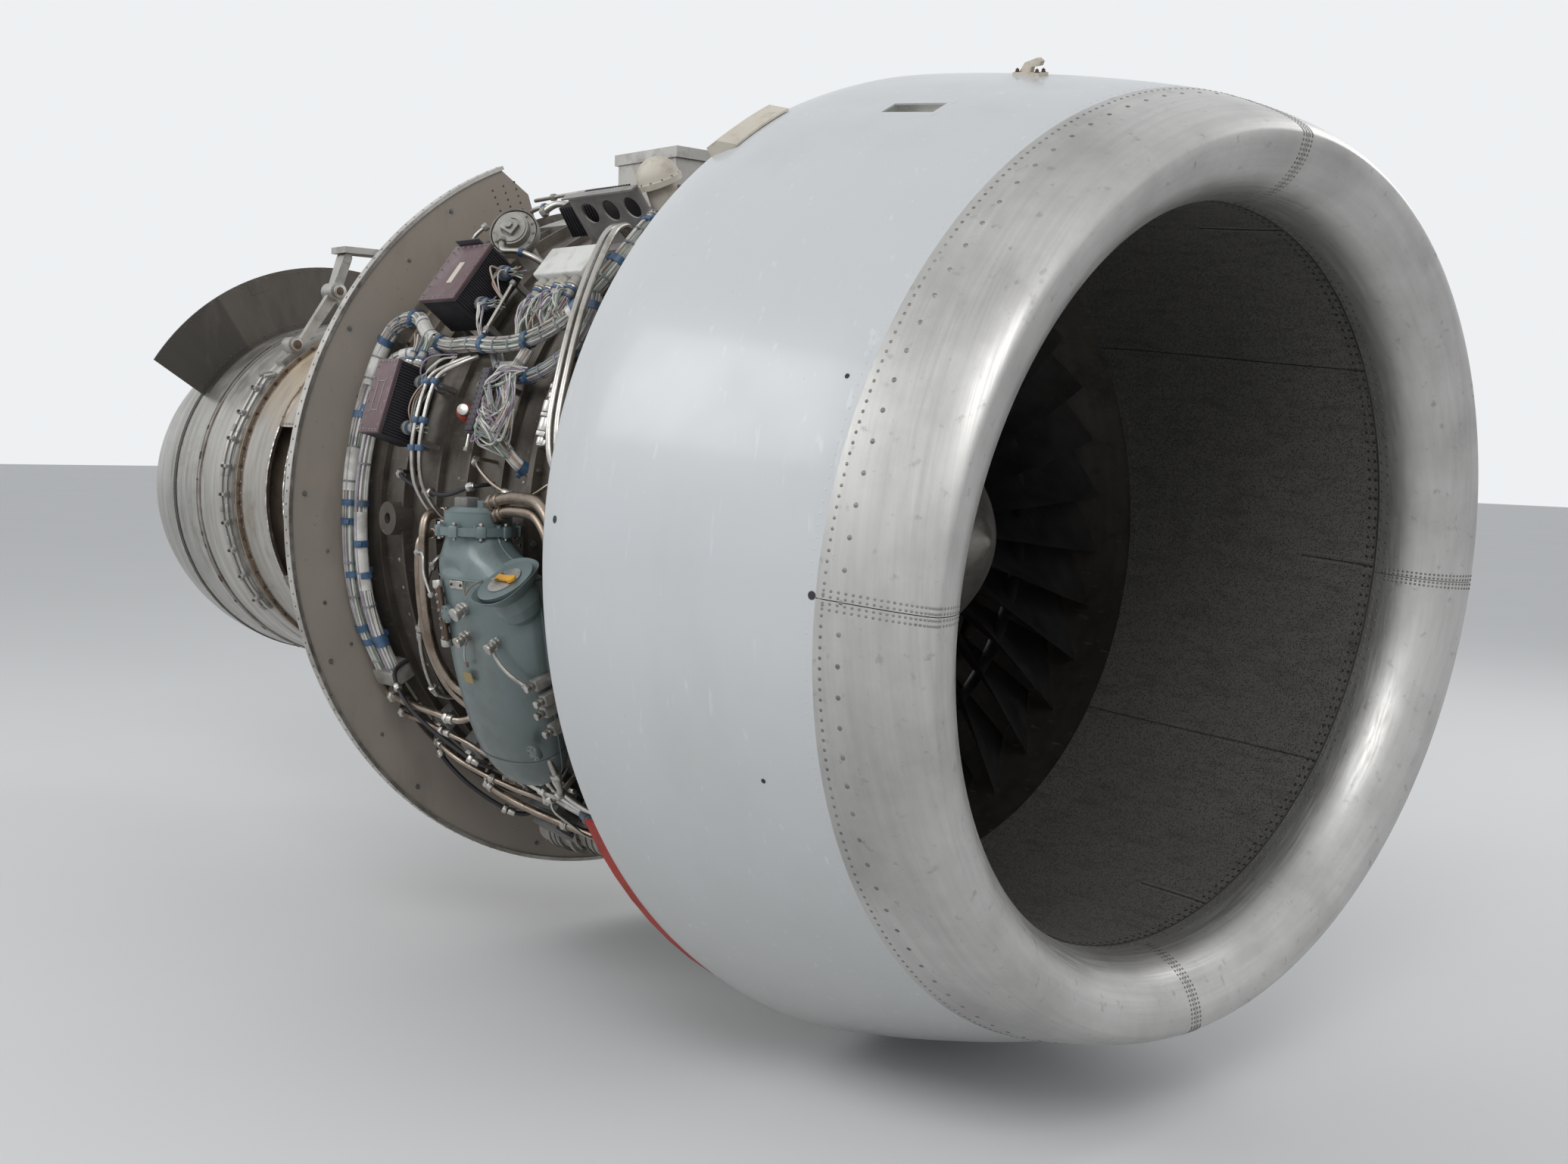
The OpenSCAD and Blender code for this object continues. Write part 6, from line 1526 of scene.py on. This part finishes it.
# Route, radius, finish and number of unions of each line
LOWER_LINES = [([(-0.430, 117.0, 1.062), (-0.436, 121.0, 1.098), (-0.470, 127.0, 1.100), (-0.545, 131.4, 1.092),
                 (-0.640, 132.6, 1.084), (-0.735, 130.6, 1.080), (-0.800, 126.0, 1.078),
                 (-0.838, 120.0, 1.066)], 0.0085, 1, 6),
               ([(-1.390, 120.5, 0.990), (-1.340, 120.5, 1.048), (-1.200, 121.0, 1.062), (-1.040, 121.5, 1.066),
                 (-0.930, 122.5, 1.050), (-0.900, 123.0, 0.948)], 0.0100, 0, 2),
               ([(-1.390, 125.5, 0.990), (-1.330, 125.0, 1.040), (-1.180, 125.5, 1.050), (-1.000, 127.5, 1.052),
                 (-0.880, 131.0, 1.040), (-0.850, 132.0, 0.948)], 0.0075, 0, 3),
               ([(-1.280, 116.5, 0.948), (-1.262, 117.0, 1.030), (-1.150, 121.0, 1.082), (-1.010, 127.0, 1.086),
                 (-0.930, 132.0, 1.060), (-0.900, 135.0, 0.948)], 0.0060, 2, 2),
               ([(-1.260, 130.0, 0.948), (-1.240, 130.5, 1.030), (-1.120, 132.5, 1.060), (-0.990, 135.5, 1.062),
                 (-0.820, 137.0, 1.064), (-0.700, 136.5, 1.058), (-0.680, 136.5, 0.948)], 0.0085, 0, 3),
               ([(-0.640, 139.5, 0.948), (-0.630, 140.0, 1.046), (-0.560, 139.6, 1.068), (-0.440, 138.2, 1.072),
                 (-0.350, 137.0, 1.060), (-0.335, 136.6, 0.948)], 0.0130, 3, 14),
               ([(-0.760, 137.5, 0.948), (-0.750, 138.5, 1.060), (-0.720, 142.0, 1.078), (-0.690, 147.0, 1.070),
                 (-0.680, 149.0, 0.948)], 0.0042, 1, 0),
               ([(-1.150, 139.0, 0.948), (-1.130, 139.5, 1.040), (-1.030, 142.5, 1.060), (-0.830, 146.0, 1.066),
                 (-0.620, 149.0, 1.064), (-0.470, 151.5, 1.050), (-0.455, 152.0, 0.948)], 0.0115, 0, 3),
               ([(-1.320, 133.0, 0.948), (-1.300, 134.0, 1.030), (-1.200, 140.0, 1.070), (-1.100, 147.0, 1.072),
                 (-1.060, 150.0, 1.010)], 0.0070, 2, 2),
               ([(-0.930, 95.0, 0.948), (-0.930, 97.0, 1.000), (-0.990, 104.0, 1.020), (-1.060, 112.0, 1.020),
                 (-1.100, 120.0, 1.010), (-1.110, 124.0, 0.948)], 0.0065, 1, 3),
               ([(-0.700, 83.0, 0.948), (-0.720, 84.0, 1.010), (-0.800, 85.5, 1.040), (-0.960, 84.5, 1.036),
                 (-1.080, 82.5, 1.020), (-1.100, 82.0, 0.948)], 0.0060, 2, 3),
               ([(-0.330, 81.5, 0.948), (-0.335, 82.5, 1.010), (-0.420, 85.0, 1.034), (-0.560, 83.5, 1.040),
                 (-0.680, 80.0, 1.030), (-0.700, 79.5, 0.948)], 0.0050, 0, 3)]


def build_lower_lines():
    """Oily small lines, unions and fittings round the tank's foot and below it, all ending on the case."""
    bm = bmesh.new()
    for points, r, slot, unions in LOWER_LINES:
        fittings = []
        for k in range(unions):
            u = (k + 0.7) / (unions + 0.4)
            fittings += ([(u, 0.0035, 0.010, 3, 14)] if slot == 3 else
                         [(u, 0.0075, 0.014, 1, 6), (min(0.99, u + 0.02), 0.0045, 0.022, 1, 16)])
        fitted_line(bm, route(points, 7), r, 12, slot, fittings)
    flange = at(-1.020, 141.0, 0.948)
    post(bm, 0.036, 0.070, flange, 32, 0.003, 0)
    post(bm, 0.052, 0.014, flange @ move(0, 0, 0.060), 36, 0.003, 1)
    post(bm, 0.030, 0.020, flange @ move(0, 0, 0.072), 28, 0.006, 0)
    for k in range(8):
        bolt(bm, flange @ turn("Z", 45 * k) @ move(0.043, 0, 0.074), 0.0045, 0.004, 1)
    for x, a, size in ((-1.060, 131.5, (0.070, 0.060, 0.090)), (-0.600, 143.5, (0.110, 0.050, 0.070)),
                       (-0.840, 142.0, (0.070, 0.050, 0.060)), (-1.180, 127.5, (0.050, 0.050, 0.070)),
                       (-0.450, 145.5, (0.080, 0.050, 0.060)), (-0.880, 127.0, (0.040, 0.040, 0.080))):
        place = at(x, a, 0.946)
        block(bm, size, place @ move(0, 0, size[2] / 2), 0.006, 3, 4)
        post(bm, size[1] * 0.28, 0.012, place @ move(0, 0, size[2]), 6, 0.001, 1)
        post(bm, size[1] * 0.18, 0.030, place @ move(size[0] / 2, 0, size[2] * 0.6) @ turn("Y", 90),
             14, 0.002, 1)
    piece("lower_lines", bm, [PIPE, BRIGHT, FIN, HOSE, GEARBOX])


def build_cowl_details():
    """Flush fasteners, small drain holes, the rear edge's seal and the hoist fitting's bolts."""
    bm = bmesh.new()
    for k in range(300):
        rivet(bm, cowl_frame(0.982, 1.2 * k), 0.0034, 0.0005, 0)
    for x, a, r, high, sides in ((0.83, 89.8, 0.009, 0.0008, 24), (0.02, 85.8, 0.009, 0.0008, 24),
                                 (0.76, 67.6, 0.0055, 0.0006, 20), (0.65, 110.0, 0.0055, 0.0006, 20)):
        t = min(0.99, (x - COWL_REAR_X) / (LIP_X - COWL_REAR_X))
        post(bm, r, high, cowl_frame(t, a), sides, 0, 1)
    piece("cowl_fasteners", bm, [COWL, FIN])
    bm = bmesh.new()
    line = [cowl_point(0.0, 360 * k / 240, 0.010) + Vector((-0.006, 0, 0)) for k in range(240)]
    tube(bm, line + [line[0]], 0.006, 8)
    piece("cowl_edge_seal", bm, [BRACKET])
    bm = bmesh.new()
    hoist = Matrix.Translation(cowl_point(0.62, 12.5)) @ turn("X", 12.5) @ turn("Y", 9)
    for x in (-0.030, 0.030):
        for y in (-0.012, 0.012):
            bolt(bm, hoist @ move(x, y, 0.008), 0.0045, 0.006, 0)
    piece("hoist_bolts", bm, [RUST])


GEARBOX_FRONT, GEARBOX_REAR = -0.865, -0.985

# Angle, radius, size and length of each unit, in front of the gearbox (1) or behind it (-1)
GEARBOX_UNITS = ((152, 1.042, 0.058, 0.210, 1), (166, 1.062, 0.078, 0.260, 1), (182, 1.050, 0.066, 0.190, 1),
                 (197, 1.066, 0.082, 0.250, 1), (210, 1.038, 0.052, 0.170, 1), (157, 1.046, 0.062, 0.180, -1),
                 (175, 1.058, 0.074, 0.230, -1), (193, 1.044, 0.058, 0.170, -1),
                 (206, 1.050, 0.066, 0.200, -1))


def build_gearbox_details():
    """Bolts round the gearbox's two faces and its units' flanges, and bands on the units."""
    bm = bmesh.new()
    for face, facing in ((GEARBOX_FRONT, 1), (GEARBOX_REAR, -1)):
        for k in range(24):
            bolt(bm, at(face, 148 + 64 * (k + 0.5) / 24, 1.075) @ turn("Y", 90 * facing), 0.006, 0.006)
    for angle, r, size, length, facing in GEARBOX_UNITS:
        face = GEARBOX_FRONT if facing > 0 else GEARBOX_REAR
        flange = at(face + facing * 0.016, angle, r) @ turn("Y", 90 * facing)
        for k in range(10):
            bolt(bm, flange @ turn("Z", 36 * k) @ move(size - 0.006, 0, 0), 0.0045, 0.006)
        ring = band(-0.003, 0.003, size - 0.001, size + 0.003)
        for part in (0.32, 0.46, 0.60):
            turned(bm, ring, at(face + facing * length * part, angle, r), 40)
    piece("gearbox_bolts", bm, [RIVET])


def build_floor():
    """Plain pale floor that keeps the engine's shadow."""
    bm = bmesh.new()
    bmesh.ops.create_grid(bm, x_segments=1, y_segments=1, size=60, matrix=Matrix.Translation((0, 0, FLOOR_Z)))
    mesh = bpy.data.meshes.new("floor")
    bm.to_mesh(mesh)
    bm.free()
    floor = bpy.data.objects.new("floor", mesh)
    bpy.context.scene.collection.objects.link(floor)
    paint = Finish("floor_paint", (228, 229, 230), 0.8)
    paint.patches((222, 223, 224), 0.6, 0.3, 0.7, 0.4)
    mesh.materials.append(paint.done())


photo_camera()
studio()
dress_cad_nodes()
for build in (build_lip, build_cowl, build_liner, build_blades, build_spinner, build_case_fasteners,
              build_bulkhead_details, build_tank, build_filler, build_boxes, build_harness, build_loose_wires,
              build_pipes, build_panel_rivets, build_pipe_bands, build_window_foil,
              build_mount_and_web_details, build_plugs, build_small_lines, build_sensor_and_strip,
              build_strip_loops, build_valve_details, build_tank_gauge, build_lower_lines, build_cowl_details,
              build_gearbox_details, build_floor):
    build()
